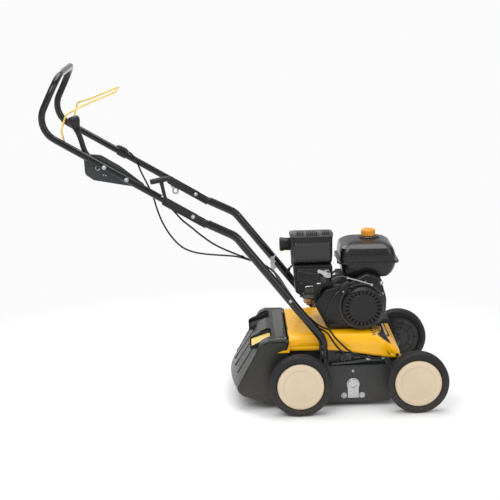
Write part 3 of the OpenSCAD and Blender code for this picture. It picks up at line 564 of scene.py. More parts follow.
def make_chassis():
    refine("chassis_deck", 1.0, 2)
    bead = Shape()
    for side in (-1, 1):
        y = side * 199.6
        bead.tube([(-276, y, 136), (-180, y, 136.4), (-100, y, 136)], 2.4, 10)
    bead.piece("side_plate_beads", "chassis", "chassis_paint")
    link_bar = Shape()
    link_bar.prism(rounded_outline([(-272, 146), (-205, 152), (-150, 160), (-96, 158), (-96, 150), (-150, 150),
                                    (-205, 143), (-272, 140)], 3, 3), -196, -192)
    link_bar.tube([(-258, -190, 170), (-246, -190, 176), (-232, -190, 170), (-228, -190, 150), (-214, -190, 143)], 3.8, 10)
    link_bar.prism(rounded_outline([(-240, 178), (-206, 178), (-206, 141), (-240, 141)], 6, 4), -189, -186)
    link_bar.lathe([(0, 0), (7, 0), (7, 3), (4, 5), (0, 5)], (-222, -189, 160), (0, -1, 0), 18)
    link_bar.prism(rounded_outline([(-196, 166), (-120, 174), (-120, 168), (-196, 158)], 2, 3), -193, -190)
    link_bar.piece("depth_linkage_bars", "chassis", "chassis_gloss", bevel=0.5)
    zinc = Shape()
    dome_screw(zinc, (-151, -196, 161), (0, -1, 0), 5)
    zinc.tube([(-132, -194, 158), (-98, -194, 157)], 3, 12)
    zinc.piece("depth_linkage_fittings", "chassis", "zinc_steel")
    dark_rod = Shape()
    dark_rod.tube([(-48, -120, 176), (-20, 60, 150)], 4, 12)
    dark_rod.tube([(-44, -168, 168), (-22, -186, 128)], 3.4, 12)
    dark_rod.piece("front_link_rods", "chassis", "chassis_gloss")


def make_catcher():
    """Collector with a bulged rear wall, rolled rims on the sides and two hand grips in its top edge."""
    outline = rounded_outline([(-416, 234.5), (-478, 236), (-500, 224), (-550, 134), (-584, 70), (-566, 50),
                               (-501, 25), (-415, 24)], [2, 14, 22, 40, 16, 12, 14, 2], 6)
    count = 15
    half = 209
    shape = Shape()
    rings = []
    for k in range(count):
        t = -1 + 2 * k / (count - 1)
        ring = []
        for p in outline:
            ring.append((p.x - catcher_bulge(p.x, p.y, t), half * t, p.y + 1.5 * (1 - t * t) * (p.y > 225)))
        rings.append(shape.ring(ring))
    for a, b in zip(rings, rings[1:]):
        for i in range(len(outline) - 1):
            shape.bm.faces.new((a[i], a[i + 1], b[i + 1], b[i]))
    body = shape.piece("collector_shell", "catcher", "collector_plastic", ("catcher_box",), angle=50, solidify=3)
    cutter = Shape()
    for side in (-1, 1):
        y0, y1 = sorted((side * 60, side * 180))
        hole = rounded_outline([(-536, y0), (-464, y0 + 8), (-464, y1 - 8), (-536, y1)], 12, 4)
        ends = [cutter.ring([(p.x, p.y, z) for p in hole]) for z in (196, 250)]
        cutter.bridge(ends)
        cutter.bm.faces.new(ends[0])
        cutter.bm.faces.new(ends[1][::-1])
    bmesh.ops.recalc_face_normals(cutter.bm, faces=cutter.bm.faces)
    mesh = bpy.data.meshes.new("grip_cutter")
    cutter.bm.to_mesh(mesh)
    cutter.bm.free()
    tool = bpy.data.objects.new("grip_cutter", mesh)
    bpy.context.scene.collection.objects.link(tool)
    cut = body.modifiers.new("grips", "BOOLEAN")
    cut.object = tool
    cut.solver = "EXACT"
    bake_modifiers(body)
    bpy.data.objects.remove(tool)
    body.data.set_sharp_from_angle(angle=math.radians(40))
    # walls and floor of the two grip pockets in near-black: painted shade inside the pockets, darker than the
    # collector's own plastic
    pocket = Shape()
    for side in (-1, 1):
        y0, y1 = sorted((side * 61, side * 179))
        hole = rounded_outline([(-535, y0), (-465, y0 + 8), (-465, y1 - 8), (-535, y1)], 12, 4)
        low = pocket.ring([(p.x, p.y, 217 + (p.x + 466) * 0.33) for p in hole])
        rim = pocket.ring([(p.x, p.y, min(234, 232 - max(0, -482 - p.x) * 0.5)) for p in hole])
        pocket.bridge([low, rim])
        pocket.bm.faces.new(low)
    pocket.piece("collector_grip_pocket_shade", "catcher", "rubber_black", angle=40, solidify=1.2)
    top = Shape()
    rings = []
    for k in range(count):
        t = -1 + 2 * k / (count - 1)
        rings.append(top.ring([(x, 206 * t, 235.4 + 1.5 * (1 - t * t)) for x in (-418, -428, -440, -452, -460)]))
    top.bridge(rings, closed=False)
    top.piece("collector_top_skin", "catcher", "collector_gloss", angle=60, solidify=0.8)
    # side panels with a rolled rim
    loop = [p for p in rounded_outline([(-416, 228), (-478, 229), (-496, 219), (-546, 132), (-583, 69), (-566, 50),
                                        (-501, 25), (-416, 24)], [4, 14, 22, 40, 16, 12, 14, 2], 6)]
    panels = Shape()
    for side in (-1, 1):
        y0, y1 = sorted((side * 208, side * 211.6))
        panels.prism(loop, y0, y1)
    panels.piece("collector_side_panels", "catcher", "collector_plastic", bevel=1, segments=3)
    rim = Shape()
    edge = sorted((p for p in loop if p.y > 100), key=lambda p: -p.x)
    for side in (-1, 1):
        path = [(p.x, side * 210.5, p.y + 1.5) for p in edge]
        radii = [6.2] * len(path)
        for k in range(6):
            radii[-1 - k] = 1.6 + k * 0.8
        rim.tube(path, radii, 16)
    rim.piece("collector_side_rims", "catcher", "collector_gloss")
    frame_bar = Shape()
    frame_bar.tube([(-418, -206, 27), (-418, -206, 226), (-418, -196, 231), (-418, 196, 231), (-418, 206, 226),
                    (-418, 206, 27), (-418, -206, 27)], 3.2, 10)
    frame_bar.piece("collector_mouth_frame", "catcher", "collector_plastic")
    plate = Shape()
    y0, y1 = -174, -68
    rings = [plate.ring([(x, y0, z), (x, y1, z), (x, y1, z + 2.4), (x, y0, z + 2.4)])
             for x, z in ((-530, 199.5), (-498, 210), (-468, 220))]
    plate.bridge(rings)
    plate.bm.faces.new(rings[0])
    plate.bm.faces.new(rings[-1][::-1])
    plate.piece("collector_grip_plate", "catcher", "panel_yellow", ("catcher_panel",), bevel=0.5)
    # low ribs down the rear wall
    ribs = Shape()
    for t in (-0.62, -0.2, 0.2, 0.62):
        path = [(x - catcher_bulge(x, z, t) - 0.2, 209 * t, z) for x, z in ((-512, 203), (-530, 170), (-551, 132), (-566, 104))]
        ribs.tube(path, 1.5, 8)
    ribs.piece("collector_rear_ribs", "catcher", "collector_plastic")
    seams = Shape()
    for side in (-1, 1):
        seams.box((-424, side * 200 - 5, 235), (-417, side * 200 + 5, 238))
    seams.piece("collector_hooks", "catcher", "zinc_steel", bevel=0.4)


def catcher_bulge(x, z, t):
    """How far the rear wall swells backwards; t is -1..1 across its width."""
    return 22 * (1 - t * t) * max(0.0, min(1.0, (-490 - x) / 80)) * max(0.0, min(1.0, (z - 30) / 50))


def bake_modifiers(obj):
    """Replaces the mesh by the result of its modifiers."""
    graph = bpy.context.evaluated_depsgraph_get()
    mesh = bpy.data.meshes.new_from_object(obj.evaluated_get(graph))
    obj.modifiers.clear()
    obj.data = mesh


# ---------------------------------------------------------------- engine
def make_tank():
    shape = Shape()
    plan = rounded_outline([(-1, -1), (1, -1), (1, 1), (-1, 1)], 0.26, 6)
    levels = [  # z, x0, x1, y0, y1
        (409, -210, -86, -100, 72), (412, -219, -72, -108, 80), (424, -224, -60, -112, 84), (440, -227, -52, -114, 86),
        (457, -229, -47, -116, 88), (458, -239, -38, -125, 95), (462.5, -239, -38, -125, 95), (463.5, -231, -46, -117, 88),
        (480, -230, -48, -117, 88), (498, -227, -53, -115, 86), (506, -224, -57, -111, 82), (511, -218, -64, -104, 76),
        (518, -207, -76, -90, 64), (523, -194, -92, -74, 50), (525, -180, -106, -60, 40)]
    rings = []
    for z, x0, x1, y0, y1 in levels:
        rings.append(shape.ring([((x0 + x1) / 2 + p.x * (x1 - x0) / 2, (y0 + y1) / 2 + p.y * (y1 - y0) / 2, z)
                                 for p in plan]))
    shape.bridge(rings)
    shape.bm.faces.new(rings[0][::-1])
    shape.bm.faces.new(rings[-1])
    shape.piece("tank_shell", "chassis", "tank_plastic", ("fuel_tank",), angle=28, bevel=1.0, segments=3)
    clips = Shape()
    for x, y in ((-232, -60), (-232, 50), (-45, -60), (-45, 50)):
        clips.box((x - 7, y - 9, 450), (x + 7, y + 9, 456))
    clips.piece("tank_seam_clips", "chassis", "tank_plastic", bevel=1)
    neck = Shape()
    neck.lathe([(31, 0), (36, 0), (38, 2), (36, 4.5), (31, 5), (29, 7), (29, 8.5), (20, 9)], (-130, -10, 522), (0, 0, 1), 48)
    neck.piece("filler_neck", "chassis", "engine_plastic", angle=30)
    ring = Shape()
    ring.lathe([(24, 0), (31, 0), (31.6, 1), (31, 2.2), (24, 2.4)], (-130, -10, 528.2), (0, 0, 1), 48)
    ring.piece("filler_neck_ring", "chassis", "head_casting")
    cap = Shape()
    teeth = 22
    rings = []
    for r, z, depth in ((22, 0, 0), (23.6, 1.5, 1.2), (24, 15, 1.2), (23, 19, 0.6), (19, 22.4, 0), (9, 24, 0)):
        ring = []
        for k in range(teeth * 4):
            a = 2 * math.pi * k / (teeth * 4)
            here = r - depth * (k % 4 > 1)
            ring.append((-130 + here * math.cos(a), -10 + here * math.sin(a), 531.3 + z))
        rings.append(cap.ring(ring))
    cap.bridge(rings)
    cap.bm.faces.new(rings[0][::-1])
    cap.bm.faces.new(rings[-1])
    cap.piece("fuel_cap_knurled", "filler_cap", "cap_orange", ("fuel_cap",), angle=30)


def rounded_case(shape, lo, hi, levels, corner):
    """Box with rounded vertical corners; levels are (z, inset) pairs."""
    cx, cy = (lo[0] + hi[0]) / 2, (lo[1] + hi[1]) / 2
    rings = []
    for z, inset in levels:
        w, d = (hi[0] - lo[0]) / 2 - inset, (hi[1] - lo[1]) / 2 - inset
        plan = rounded_outline([(-w, -d), (w, -d), (w, d), (-w, d)], corner, 5)
        rings.append(shape.ring([(cx + p.x, cy + p.y, z) for p in plan]))
    shape.bridge(rings)
    shape.bm.faces.new(rings[0][::-1])
    shape.bm.faces.new(rings[-1])


FILTER_TOP = 549.5


def make_air_filter():
    base = Shape()
    low, top = 460, FILTER_TOP
    rounded_case(base, (-393, -111), (-255, -17),
                 [(low, 7), (low + 4, 3), (low + 24, 1.2), (top - 14, 0.5), (top - 8, 0), (top - 7, -0.6), (top, -0.6)], 16)
    base.piece("air_filter_case", "chassis", "engine_plastic", ("air_filter_base",), angle=30, bevel=1, segments=2)
    face = Shape()
    rings = [face.ring([(p.x, y, p.y) for p in rounded_outline(
        [(-383 - g, 470 - g), (-265 + g, 470 - g), (-268 + g, 531 + g), (-380 - g, 531 + g)], 9, 5)])
        for y, g in ((-109, 3), (-113, 2.4), (-115, 0.5), (-115.5, -2), (-114.2, -4), (-114, -8))]
    face.bridge(rings)
    face.bm.faces.new(rings[-1])
    face.bm.faces.new(rings[0][::-1])
    face.piece("air_filter_face", "chassis", "engine_gloss", angle=40)
    horn = Shape()
    horn.lathe([(8, 0), (20, 0), (21, 3), (21, 22), (22.5, 26), (23, 34), (21, 37), (17, 36), (16, 12), (0, 10)],
               (-391, -56, 519), (-1, 0, 0), 40)
    horn.piece("air_intake_horn", "chassis", "engine_plastic", angle=35)
    lid = Shape()
    levels = [(0.2, 1.2), (2, -0.2), (9, 0), (14, 1.2), (17.2, 3.6), (18.6, 8)]
    cx, cy = -324, -64.5
    rings = []
    for rise, inset in levels:
        plan = rounded_outline([(-71 + inset, -49.5 + inset), (71 - inset, -49.5 + inset), (71 - inset, 49.5 - inset),
                                (-71 + inset, 49.5 - inset)], 17, 6)
        rings.append(lid.ring([(cx + p.x, cy + p.y, FILTER_TOP + 0.3 + rise * (1 - 0.62 * max(0, p.y + 49.5) / 99))
                               for p in plan]))
    lid.bridge(rings)
    lid.bm.faces.new(rings[0][::-1])
    lid.bm.faces.new(rings[-1])
    lid.piece("air_filter_cover", "chassis", "filter_lid_grey", ("air_filter_lid",), angle=40)
    # black blocks flush with the lid's near face: painted shade of the vent openings, not real holes
    vents = Shape()
    for x, n, tall in ((-373, 4, 9), (-341, 6, 12), (-289, 4, 9)):
        for k in range(n):
            left = x + k * 6.2
            vents.box((left, -114.6, FILTER_TOP + 16 - tall), (left + 3.2, -92, FILTER_TOP + 18.2))
    vents.piece("air_filter_vent_shade", "chassis", "rubber_black", bevel=0.3)


CARB_OUTLINE = [(-386, 459), (-386, 450), (-381, 372), (-368, 362), (-309, 362), (-290, 387), (-259, 394), (-259, 459)]


def make_carburettor():
    cover = Shape()
    cover.prism(rounded_outline(CARB_OUTLINE, 6, 4), -128, -62)
    inner = rounded_outline([(-377, 452), (-373, 380), (-362, 370), (-312, 370), (-296, 393), (-267, 400), (-267, 452)],
                            7, 4)
    centre = Vector((-322, 415))
    rings = [cover.ring([(centre.x + (p.x - centre.x) * s, y, centre.y + (p.y - centre.y) * s) for p in inner])
             for y, s in ((-127, 1.04), (-134, 1.0), (-138, 0.97), (-139, 0.93))]
    cover.bridge(rings)
    cover.bm.faces.new(rings[-1])
    cover.bm.faces.new(rings[0])
    cover.piece("carburettor_cover", "chassis", "engine_plastic", ("carb_cover",), bevel=1.2, segments=2)
    ribs = Shape()
    ribs.tube([(-372, -139, 444), (-340, -140, 436), (-296, -140, 433)], 2.6, 10)
    ribs.tube([(-356, -139, 428), (-330, -140, 420), (-300, -140, 409)], 3.2, 10)
    ribs.tube([(-366, -139, 402), (-344, -140, 398), (-330, -140, 380)], 3.6, 10)
    ribs.box((-352, -142.5, 372), (-322, -138, 388))
    ribs.box((-300, -144, 404), (-282, -138, 424))
    ribs.piece("carburettor_links", "chassis", "engine_gloss", bevel=0.6)
    bowl = Shape()
    bowl.lathe([(0, 0), (5.5, 0), (5.5, 4), (8, 6), (14, 8), (16.6, 12), (17, 21), (18.6, 22), (18.6, 24.6), (0, 24.8)],
               (-340, -101, 320), (0.12, 0, 1), 36)
    bowl.tube([(-326, -116, 334), (-314, -122, 344), (-304, -126, 354)], 1.8, 8)
    bowl.piece("float_bowl", "chassis", "brass_bowl", ("carb_bowl",), angle=40)
    body = Shape()
    body.box((-357, -117, 346), (-321, -85, 360.5))
    body.tube([(-357, -101, 354), (-366, -101, 354)], 7, 16)
    body.piece("carburettor_body", "chassis", "head_casting", ("carburettor",), bevel=1)
    zinc = Shape()
    zinc.tube([(-350, -142, 391), (-339, -144, 394), (-324, -144, 394)], 2.0, 8)
    zinc.tube([(-312, -144, 402), (-300, -145, 403)], 2.6, 8)
    zinc.tube([(-356, -126, 366), (-351, -130, 373), (-346, -130, 370)], 2.6, 8)
    zinc.piece("choke_rods", "chassis", "zinc_steel")
    hose = Shape()
    hose.tube(smooth_path([(-386, -80, 452), (-402, -86, 440), (-408, -86, 424), (-396, -84, 408), (-380, -80, 404)], 6), 3, 10)
    hose.tube(smooth_path([(-392, -70, 448), (-398, -74, 430), (-390, -76, 412), (-380, -76, 394)], 6), 2.4, 10)
    hose.piece("breather_hoses", "chassis", "rubber_black")


def make_shroud():
    outline = rounded_outline([(-84, 345), (-88, 290), (-133, 250), (-281, 250), (-297, 285), (-324, 336), (-286, 382),
                               (-219, 399), (-150, 431), (-104, 420)], [46, 40, 40, 14, 20, 16, 16, 30, 24, 34], 7)
    centre = Vector((-190, 330))
    shape = Shape()
    rings = [shape.ring([(centre.x + (p.x - centre.x) * s, y, centre.y + (p.y - centre.y) * s) for p in outline])
             for y, s in ((-118, 1.0), (-140, 1.0), (-147, 0.985), (-151, 0.955), (-152, 0.93))]
    shape.bridge(rings)
    shape.bm.faces.new(rings[-1])
    shape.bm.faces.new(rings[0])
    shape.piece("blower_housing", "chassis", "engine_sheet", ("blower_shroud",), angle=35)
    ridge = Shape()
    ridge.lathe([(70, 0), (78, 0), (78, 3), (76, 5), (70, 5)], (-165, -152, 325), (0, -1, 0), 72, close=True)
    ridge.tube(smooth_path([(-288, -150, 292), (-268, -153, 340), (-244, -153, 374), (-206, -153, 388), (-150, -153, 408)], 5),
               3.2, 10)
    ridge.tube([(-270, -151, 262), (-150, -153, 260)], 2.6, 10)
    ridge.piece("blower_housing_ridge", "chassis", "engine_gloss")


def make_recoil():
    """Starter cover: dished rim, radial cooling slots and a plain hub disc."""
    shape = Shape()
    x, z, front = -165, 325, -186
    shape.lathe([(0, 1.2), (30, 0.8), (36, 0.2), (40, 0), (43, 1.5), (46, 2.6)], (x, front, z), (0, 1, 0), 96)
    shape.lathe([(58, 2.6), (61, 2.4), (63.5, 3.2), (66.5, 6), (68, 12), (68, 33), (64, 33), (64, 12), (58, 6)],
                (x, front, z), (0, 1, 0), 96)
    count = 26
    for k in range(count):
        a = 2 * math.pi * k / count
        outline = [(45, -3.3), (59, -5.0), (59, 5.0), (45, 3.3)]
        shape.prism([(x + r * math.cos(a) - w * math.sin(a), z + r * math.sin(a) + w * math.cos(a))
                     for r, w in outline], front + 2.4, front + 6)
    shape.piece("recoil_housing", "chassis", "engine_plastic", ("recoil_cover",), angle=35, bevel=0.4)
    rings = Shape()
    for r in (41.5, 61.5):
        rings.lathe([(r - 0.8, 0), (r, 1.0), (r + 0.8, 0)], (x, front + 2.2, z), (0, -1, 0), 96)
    rings.piece("recoil_rings", "chassis", "engine_gloss")
    # black disc behind the slots: stands for the flywheel fan, and its near-black colour is painted shade inside the
    # housing
    dark = Shape()
    dark.lathe([(0, 0), (64, 0), (64, 3), (0, 3)], (x, front + 10, z), (0, 1, 0), 64)
    dark.piece("fan_and_shade_disc", "chassis", "rubber_black")


def make_controls():
    bracket = Shape()
    bracket.prism(rounded_outline([(-289, 421), (-266, 421), (-266, 434), (-272, 447), (-289, 447)], 3, 4), -144, -140.5)
    bracket.tube([(-212, -156, 421), (-172, -156, 409), (-134, -156, 396)], 2.6, 12)
    for x, z in ((-212, 421), (-134, 396)):
        bracket.tube([(x, -152.3, z), (x, -159, z)], 4.2, 16)
    bracket.tube([(-275, -144, 430), (-275, -152, 430)], 3.6, 16)
    bracket.tube([(-283, -144, 441), (-283, -149, 441)], 3.2, 12)
    bracket.piece("governor_linkage", "chassis", "zinc_steel", ("control_bracket",), bevel=0.4)
    cover = Shape()
    cover.prism(rounded_outline([(-282, 434), (-270, 434), (-270, 444), (-282, 444)], 2, 3), -147, -144.2)
    cover.prism(rounded_outline([(-262, 412), (-226, 414), (-222, 428), (-240, 434), (-262, 430)], 4, 4), -150, -146)
    cover.tube(smooth_path([(-262, -148, 436), (-244, -150, 448), (-228, -150, 438)], 6), 4.0, 10)
    cover.piece("governor_cover", "chassis", "engine_gloss", bevel=0.5)
    refine("throttle_lever", 0.4)
    arc = Shape()
    arc.tube(smooth_path([(-262, -152, 417), (-246, -156, 426), (-228, -156, 427), (-212, -156, 421)], 6), 1.8, 8)
    arc.piece("governor_spring", "chassis", "head_casting")
    out = Vector((-0.62, -0.3, 0.72)).normalized()
    root = Vector((-206, -176, 376)) + 14 * out
    across = out.cross(Vector((0, 1, 0))).normalized()
    grip = Shape()
    grip.lathe([(0, 0), (5, 0), (7.5, 4), (8, 9), (9, 14), (10, 18)], root, out, 20)
    bar = [root + out * (18 + 3 * (1 - (k / 6) ** 2)) + across * k * 3.6 for k in range(-6, 7)]
    grip.tube(bar, [4.5, 7, 8, 8.6, 9, 9, 9, 9, 9, 8.6, 8, 7, 4.5], 16)
    grip.piece("starter_handle", "starter", "control_plastic", ("starter_grip",))
    guide = Shape()
    guide.lathe([(7, -3), (9, 0), (9, 6), (5, 8), (3, 8), (3, -3)], Vector((-206, -176, 376)) + 3 * out, out, 20, close=True)
    guide.piece("rope_guide", "chassis", "engine_plastic")
    exit_p = Vector((-206, -176, 376)) + 5 * out
    rope = Shape()
    rope.tube([exit_p + out * (9.5 * k / 40) for k in range(41)], 2, 12)
    cord = rope.piece("starter_cord", None, "starter_cord", ("starter_rope",))
    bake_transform(cord)


# ---------------------------------------------------------------- handle
HANDLE_Y = 214
ALONG = Vector((-math.cos(math.radians(31)), math.sin(math.radians(31))))
FOLD = Vector((-705, 651))


def make_handle():
    apex = FOLD + 566 * ALONG
    top = apex + 182 * Vector((math.cos(math.radians(64)), math.sin(math.radians(64))))
    low = FOLD - 8 * ALONG
    corner = [(low.x, -HANDLE_Y, low.y), (apex.x, -HANDLE_Y, apex.y), (top.x, -HANDLE_Y, top.y),
              (top.x, HANDLE_Y, top.y), (apex.x, HANDLE_Y, apex.y), (low.x, HANDLE_Y, low.y)]
    upper = Shape()
    upper.tube(bent_path(corner, [0, 75, 70, 70, 75, 0], 14), 11, 24)
    upper.piece("upper_handle_bar", "upper_handle", "gloss_black_tube", ("upper_handle_tube",), angle=60)
    refine("lower_handle_left", 0)
    refine("lower_handle_right", 0)
    refine("fold_brackets", 1.6, 4)
    # flattened tube end and the pressed dimple beside each fold bolt
    swell = Shape()
    normal = Vector((ALONG.y, -ALONG.x))
    for side in (-1, 1):
        for s in (-30, -16):
            p = FOLD + s * ALONG
            swell.lathe([(0, 0), (5.5, 0), (5, 0.8), (2.5, 0.8), (2, 0.2), (0, 0.2)], (p.x, side * 228.1, p.y),
                        (0, side, 0), 20)
        p = FOLD + 46 * ALONG
        dimple = []
        for k in range(24):
            a = 2 * math.pi * k / 24
            q = p + 13 * math.cos(a) * ALONG + 4.5 * math.sin(a) * normal
            dimple.append((q.x, q.y))
        y0, y1 = sorted((side * 227.8, side * 229))
        swell.prism(dimple, y0, y1)
    swell.piece("bracket_pressings", "chassis", "gloss_black_tube", bevel=0.4)


QUAD = Vector((-1001, 812))


def make_levers():
    """Depth quadrant with its lever, the bail and the clutch cable adjuster."""
    leaf = rounded_outline([(-1044, 846), (-1042, 792), (-1016, 773), (-960, 762), (-876, 746), (-852, 752), (-930, 816),
                            (-990, 853), (-1024, 856)], [10, 18, 18, 20, 4, 4, 40, 30, 10], 6)
    centre = Vector((-970, 802))
    plate = Shape()
    rings = [plate.ring([(centre.x + (p.x - centre.x) * s, y, centre.y + (p.y - centre.y) * s) for p in leaf])
             for y, s in ((-198.7, 1.0), (-201, 1.0), (-202.2, 0.975), (-202.6, 0.95), (-201.8, 0.93), (-201.8, 0.9))]
    plate.bridge(rings)
    plate.bm.faces.new(rings[0])
    plate.bm.faces.new(rings[-1][::-1])
    plate.tube([(-890, -196, 764), (-878, -196, 757), (-862, -196, 748)], [6.4, 5.2, 4.4], 14)
    plate.piece("quadrant_cover", "upper_handle", "quadrant_slate", ("quadrant_plate",), angle=40)
    hub = Shape()
    hub.lathe([(4.6, 0), (8, 0), (8, 2), (6.5, 2.6), (5, 1.6), (4.6, 0)], (QUAD.x, -201.8, QUAD.y), (0, -1, 0), 24)
    hub.piece("quadrant_pivot_ring", "upper_handle", "zinc_steel")
    marks = Shape()
    for x, z in ((-986, 786), (-979, 784)):
        marks.prism([(x, z), (x + 5, z + 3), (x, z + 6), (x + 1.5, z + 3)], -203.2, -201.7)
    marks.piece("quadrant_arrow_marks", "upper_handle", "label_grey")
    bolts = Shape()
    for s in (320, 240):
        p = FOLD + s * ALONG
        dome_screw(bolts, (p.x, -225.2, p.y), (0, -1, 0), 4.6)
    bolts.piece("quadrant_bolts", "upper_handle", "zinc_steel", ("handle_fittings",))

    knee, knob = Vector((-1040, 866)), Vector((-1066, 952))
    y = -195.6
    lever = Shape()
    shaft = smooth_path([(QUAD.x, y, QUAD.y), (-1024, y, 842), (knee.x, y, knee.y), (-1052, y, 908), (knob.x, y, knob.y - 8)], 5)
    lever.tube(shaft, [8.6] * len(shaft), 14)
    up = (knob - knee).normalized()
    axis = Vector((up.x, 0, up.y))
    base = Vector((knob.x, y, knob.y)) - axis * 26
    lever.lathe([(0, 0), (9.5, 0), (10.5, 6), (12, 14), (15.5, 24), (19, 33), (19.6, 42), (17, 48), (13, 51), (0, 52)],
                base, axis, 36)
    for k in range(3):
        r, h = 10.6 + k * 0.9, 4 + 4 * k
        lever.lathe([(r, h), (r + 1.3, h + 1), (r, h + 2)], base, axis, 28, close=True)
    lever.piece("depth_lever_grip", "depth_control", "control_plastic", ("depth_lever",), angle=40)

    pivot = FOLD + 462 * ALONG
    route = [(0, 0, 211), (0, 0, 197), (-9, 44, 197), (6, 92, 180), (52, 110, 98), (156, 150, 92)]
    half = [(pivot.x + dx, w, pivot.y + dz) for dx, dz, w in route]
    wire = [(px, -py, pz) for px, py, pz in half] + half[::-1]
    bail = Shape()
    bail.tube(bent_path(wire, [0, 5, 18, 26, 24, 14, 14, 24, 26, 18, 5, 0], 8), 3, 12)
    bail.piece("bail_lever", "bail", "bail_yellow", ("bail_wire",), angle=60)

    adjuster = Shape()
    a, b = Vector((-930, 197, 806)), Vector((-976, 197, 833))
    d = (b - a).normalized()
    adjuster.lathe([(0, 0), (3.4, 0), (3.8, 6), (6, 10), (6.6, 20), (6, 26), (6.2, 27), (6.2, 34), (4, 37), (3.2, 44), (0, 45)],
                   a, d, 20)
    p = FOLD + 288 * ALONG
    adjuster.lathe([(11.3, 0), (14, 1), (14.6, 8), (14.6, 26), (14, 33), (11.3, 34)], (p.x + 14, HANDLE_Y, p.y - 8),
                   (ALONG.x, 0, ALONG.y), 28, close=True)
    adjuster.piece("cable_adjuster", "upper_handle", "control_plastic", angle=40)
    end = Shape()
    end.lathe([(0, 0), (5.5, 0), (6.5, 2), (6.5, 9), (4, 11), (0, 11)], (-866, -196, 750), (0.8, 0, -0.6), 20)
    end.piece("depth_cable_end", "upper_handle", "zinc_steel")


CLUTCH = [(-929, 197, 805), (-916, 196, 792), (-903, 197, 768), (-888, 201, 728), (-868, 203, 684),
          (-853, 201, 648), (-841, 196, 605), (-827, 190, 566), (-807, 185, 527), (-785, 180, 497),
          (-758, 175, 471), (-724, 170, 455), (-681, 162, 447), (-626, 152, 443), (-571, 142, 439),
          (-520, 132, 425), (-482, 128, 413), (-448, 118, 390), (-430, 60, 372), (-414, -30, 362),
          (-400, -110, 350), (-382, -170, 332), (-356, -188, 308), (-332, -190, 286), (-310, -187, 265),
          (-290, -190, 252), (-281, -199, 247), (-273, -203, 234), (-262, -205, 216), (-246, -206, 196),
          (-228, -205, 180)]
DEPTH = [(-865, -195.2, 749), (-848, -195.2, 737), (-818, -195.5, 716), (-790, -194, 690), (-767, -190, 665),
         (-742, -180, 633), (-711, -160, 602), (-684, -120, 569), (-645, -75, 530), (-603, -30, 498),
         (-551, 15, 465), (-512, 55, 438), (-484, 84, 418), (-454, 92, 402), (-430, 40, 386), (-408, -50, 366),
         (-386, -130, 346), (-364, -172, 322), (-340, -182, 298), (-316, -179, 276), (-294, -179, 262),
         (-278, -188, 258), (-269, -199, 249), (-260, -204, 236), (-240, -206, 214), (-214, -207, 190),
         (-180, -207, 172), (-140, -205, 163), (-108, -204, 161)]


def make_cables():
    for name, route, start, end in (("clutch_cable_sheath", CLUTCH, (-620, 150, 450), (-930, 190, 800)),
                                    ("depth_cable_sheath", DEPTH, (-600, -30, 495), (-860, -196, 746))):
        shape = Shape()
        shape.tube(smooth_path(route, 6), 3, 12)
        node = name.replace("_sheath", "")
        sheath = shape.piece(name, None, "cable_sheath", (node,), angle=60)
        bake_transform(sheath)
    tie = Shape()
    tie.lathe([(0, -4), (5, -4), (5, 4), (0, 4)], (-551, 15, 465), (1, 0.8, -0.6), 16)
    tie.piece("cable_tie", "chassis", "cable_sheath", bevel=0.6)
    clip = Shape()
    for z in (376, 396, 416):
        y = HANDLE_Y - 17
        clip.tube([(-452, y, z), (-440, y - 2, z + 5), (-434, y, z + 12)], 3.4, 10)
    clip.prism(rounded_outline([(-452, 370), (-438, 370), (-438, 424), (-452, 424)], 4, 4), HANDLE_Y - 22, HANDLE_Y - 17.5)
    clip.piece("cable_clip_left", "chassis", "zinc_steel", ("cable_clips",), bevel=0.5)


CLAMP = FOLD + 97 * ALONG
CLAMP_Y = 225.4


def make_clamps():
    """T-handled screw on the operator's right, drop ring on the left."""
    tip = Vector((-802, 774))
    stem = (tip - CLAMP).normalized()
    across = Vector((stem.y, -stem.x))
    y = -(CLAMP_Y + 14)
    lever = Shape()
    lever.lathe([(0, 0), (4, 0), (4, 5), (9, 6), (10.5, 9), (10.5, 18), (8, 20), (0, 20.5)],
                (CLAMP.x, -CLAMP_Y, CLAMP.y), (0, -1, 0), 28)
    path = [CLAMP.lerp(tip, k / 8) for k in range(9)]
    lever.tube([(p.x, y, p.y) for p in path], [8, 7, 6.4, 6, 5.8, 5.8, 6, 7, 8], 16)
    bar = [(-34, 0), (-32, 0), (-27, 0), (-16, 0), (-6, 0), (4, 0), (14, -0.5), (22, -1.5), (28, -3.5), (32, -6), (34, -8)]
    radii = [6, 8.2, 8.8, 8.8, 8.8, 8.8, 8.4, 8, 7.4, 6.6, 4]
    lever.tube([((tip + across * s).x, y, (tip + across * s).y + d) for s, d in bar], radii, 18)
    lever.piece("clamp_handle_right", "clamp_right", "control_plastic", ("clamp_lever_right",), angle=50)
    pin = Shape()
    p = CLAMP + 22 * stem
    pin.lathe([(0, 0), (3.6, 0), (4, 2), (3, 3.5), (0, 3.8)], (p.x - 6, y - 5, p.y), (0, -1, 0), 16)
    pin.piece("clamp_pin", "clamp_right", "zinc_steel")
    drop = Shape()
    eye = Vector((-776, 660))
    side_y = CLAMP_Y + 6.5
    drop.lathe([(0, 0), (4, 0), (4, 4.5), (9.5, 5), (9.5, 8.5), (6, 10), (0, 10.2)], (CLAMP.x, CLAMP_Y, CLAMP.y), (0, 1, 0), 24)
    shank = [CLAMP.lerp(eye, t) for t in (0.0, 0.3, 0.55, 0.75)]
    drop.tube([(p.x, side_y, p.y) for p in shank], [6, 7, 5, 4], 14)
    for centre, r, thick in ((CLAMP.lerp(eye, 0.46), 8, 3.4), (eye, 8.6, 3.2)):
        loop = [(centre.x + r * math.cos(a), side_y, centre.y + 1.15 * r * math.sin(a))
                for a in [2 * math.pi * k / 24 for k in range(25)]]
        drop.tube(loop, thick, 10, caps=False)
    drop.piece("clamp_drop_ring", "clamp_left", "zinc_steel", ("clamp_lever_left",), angle=50)


EAR_X = -298


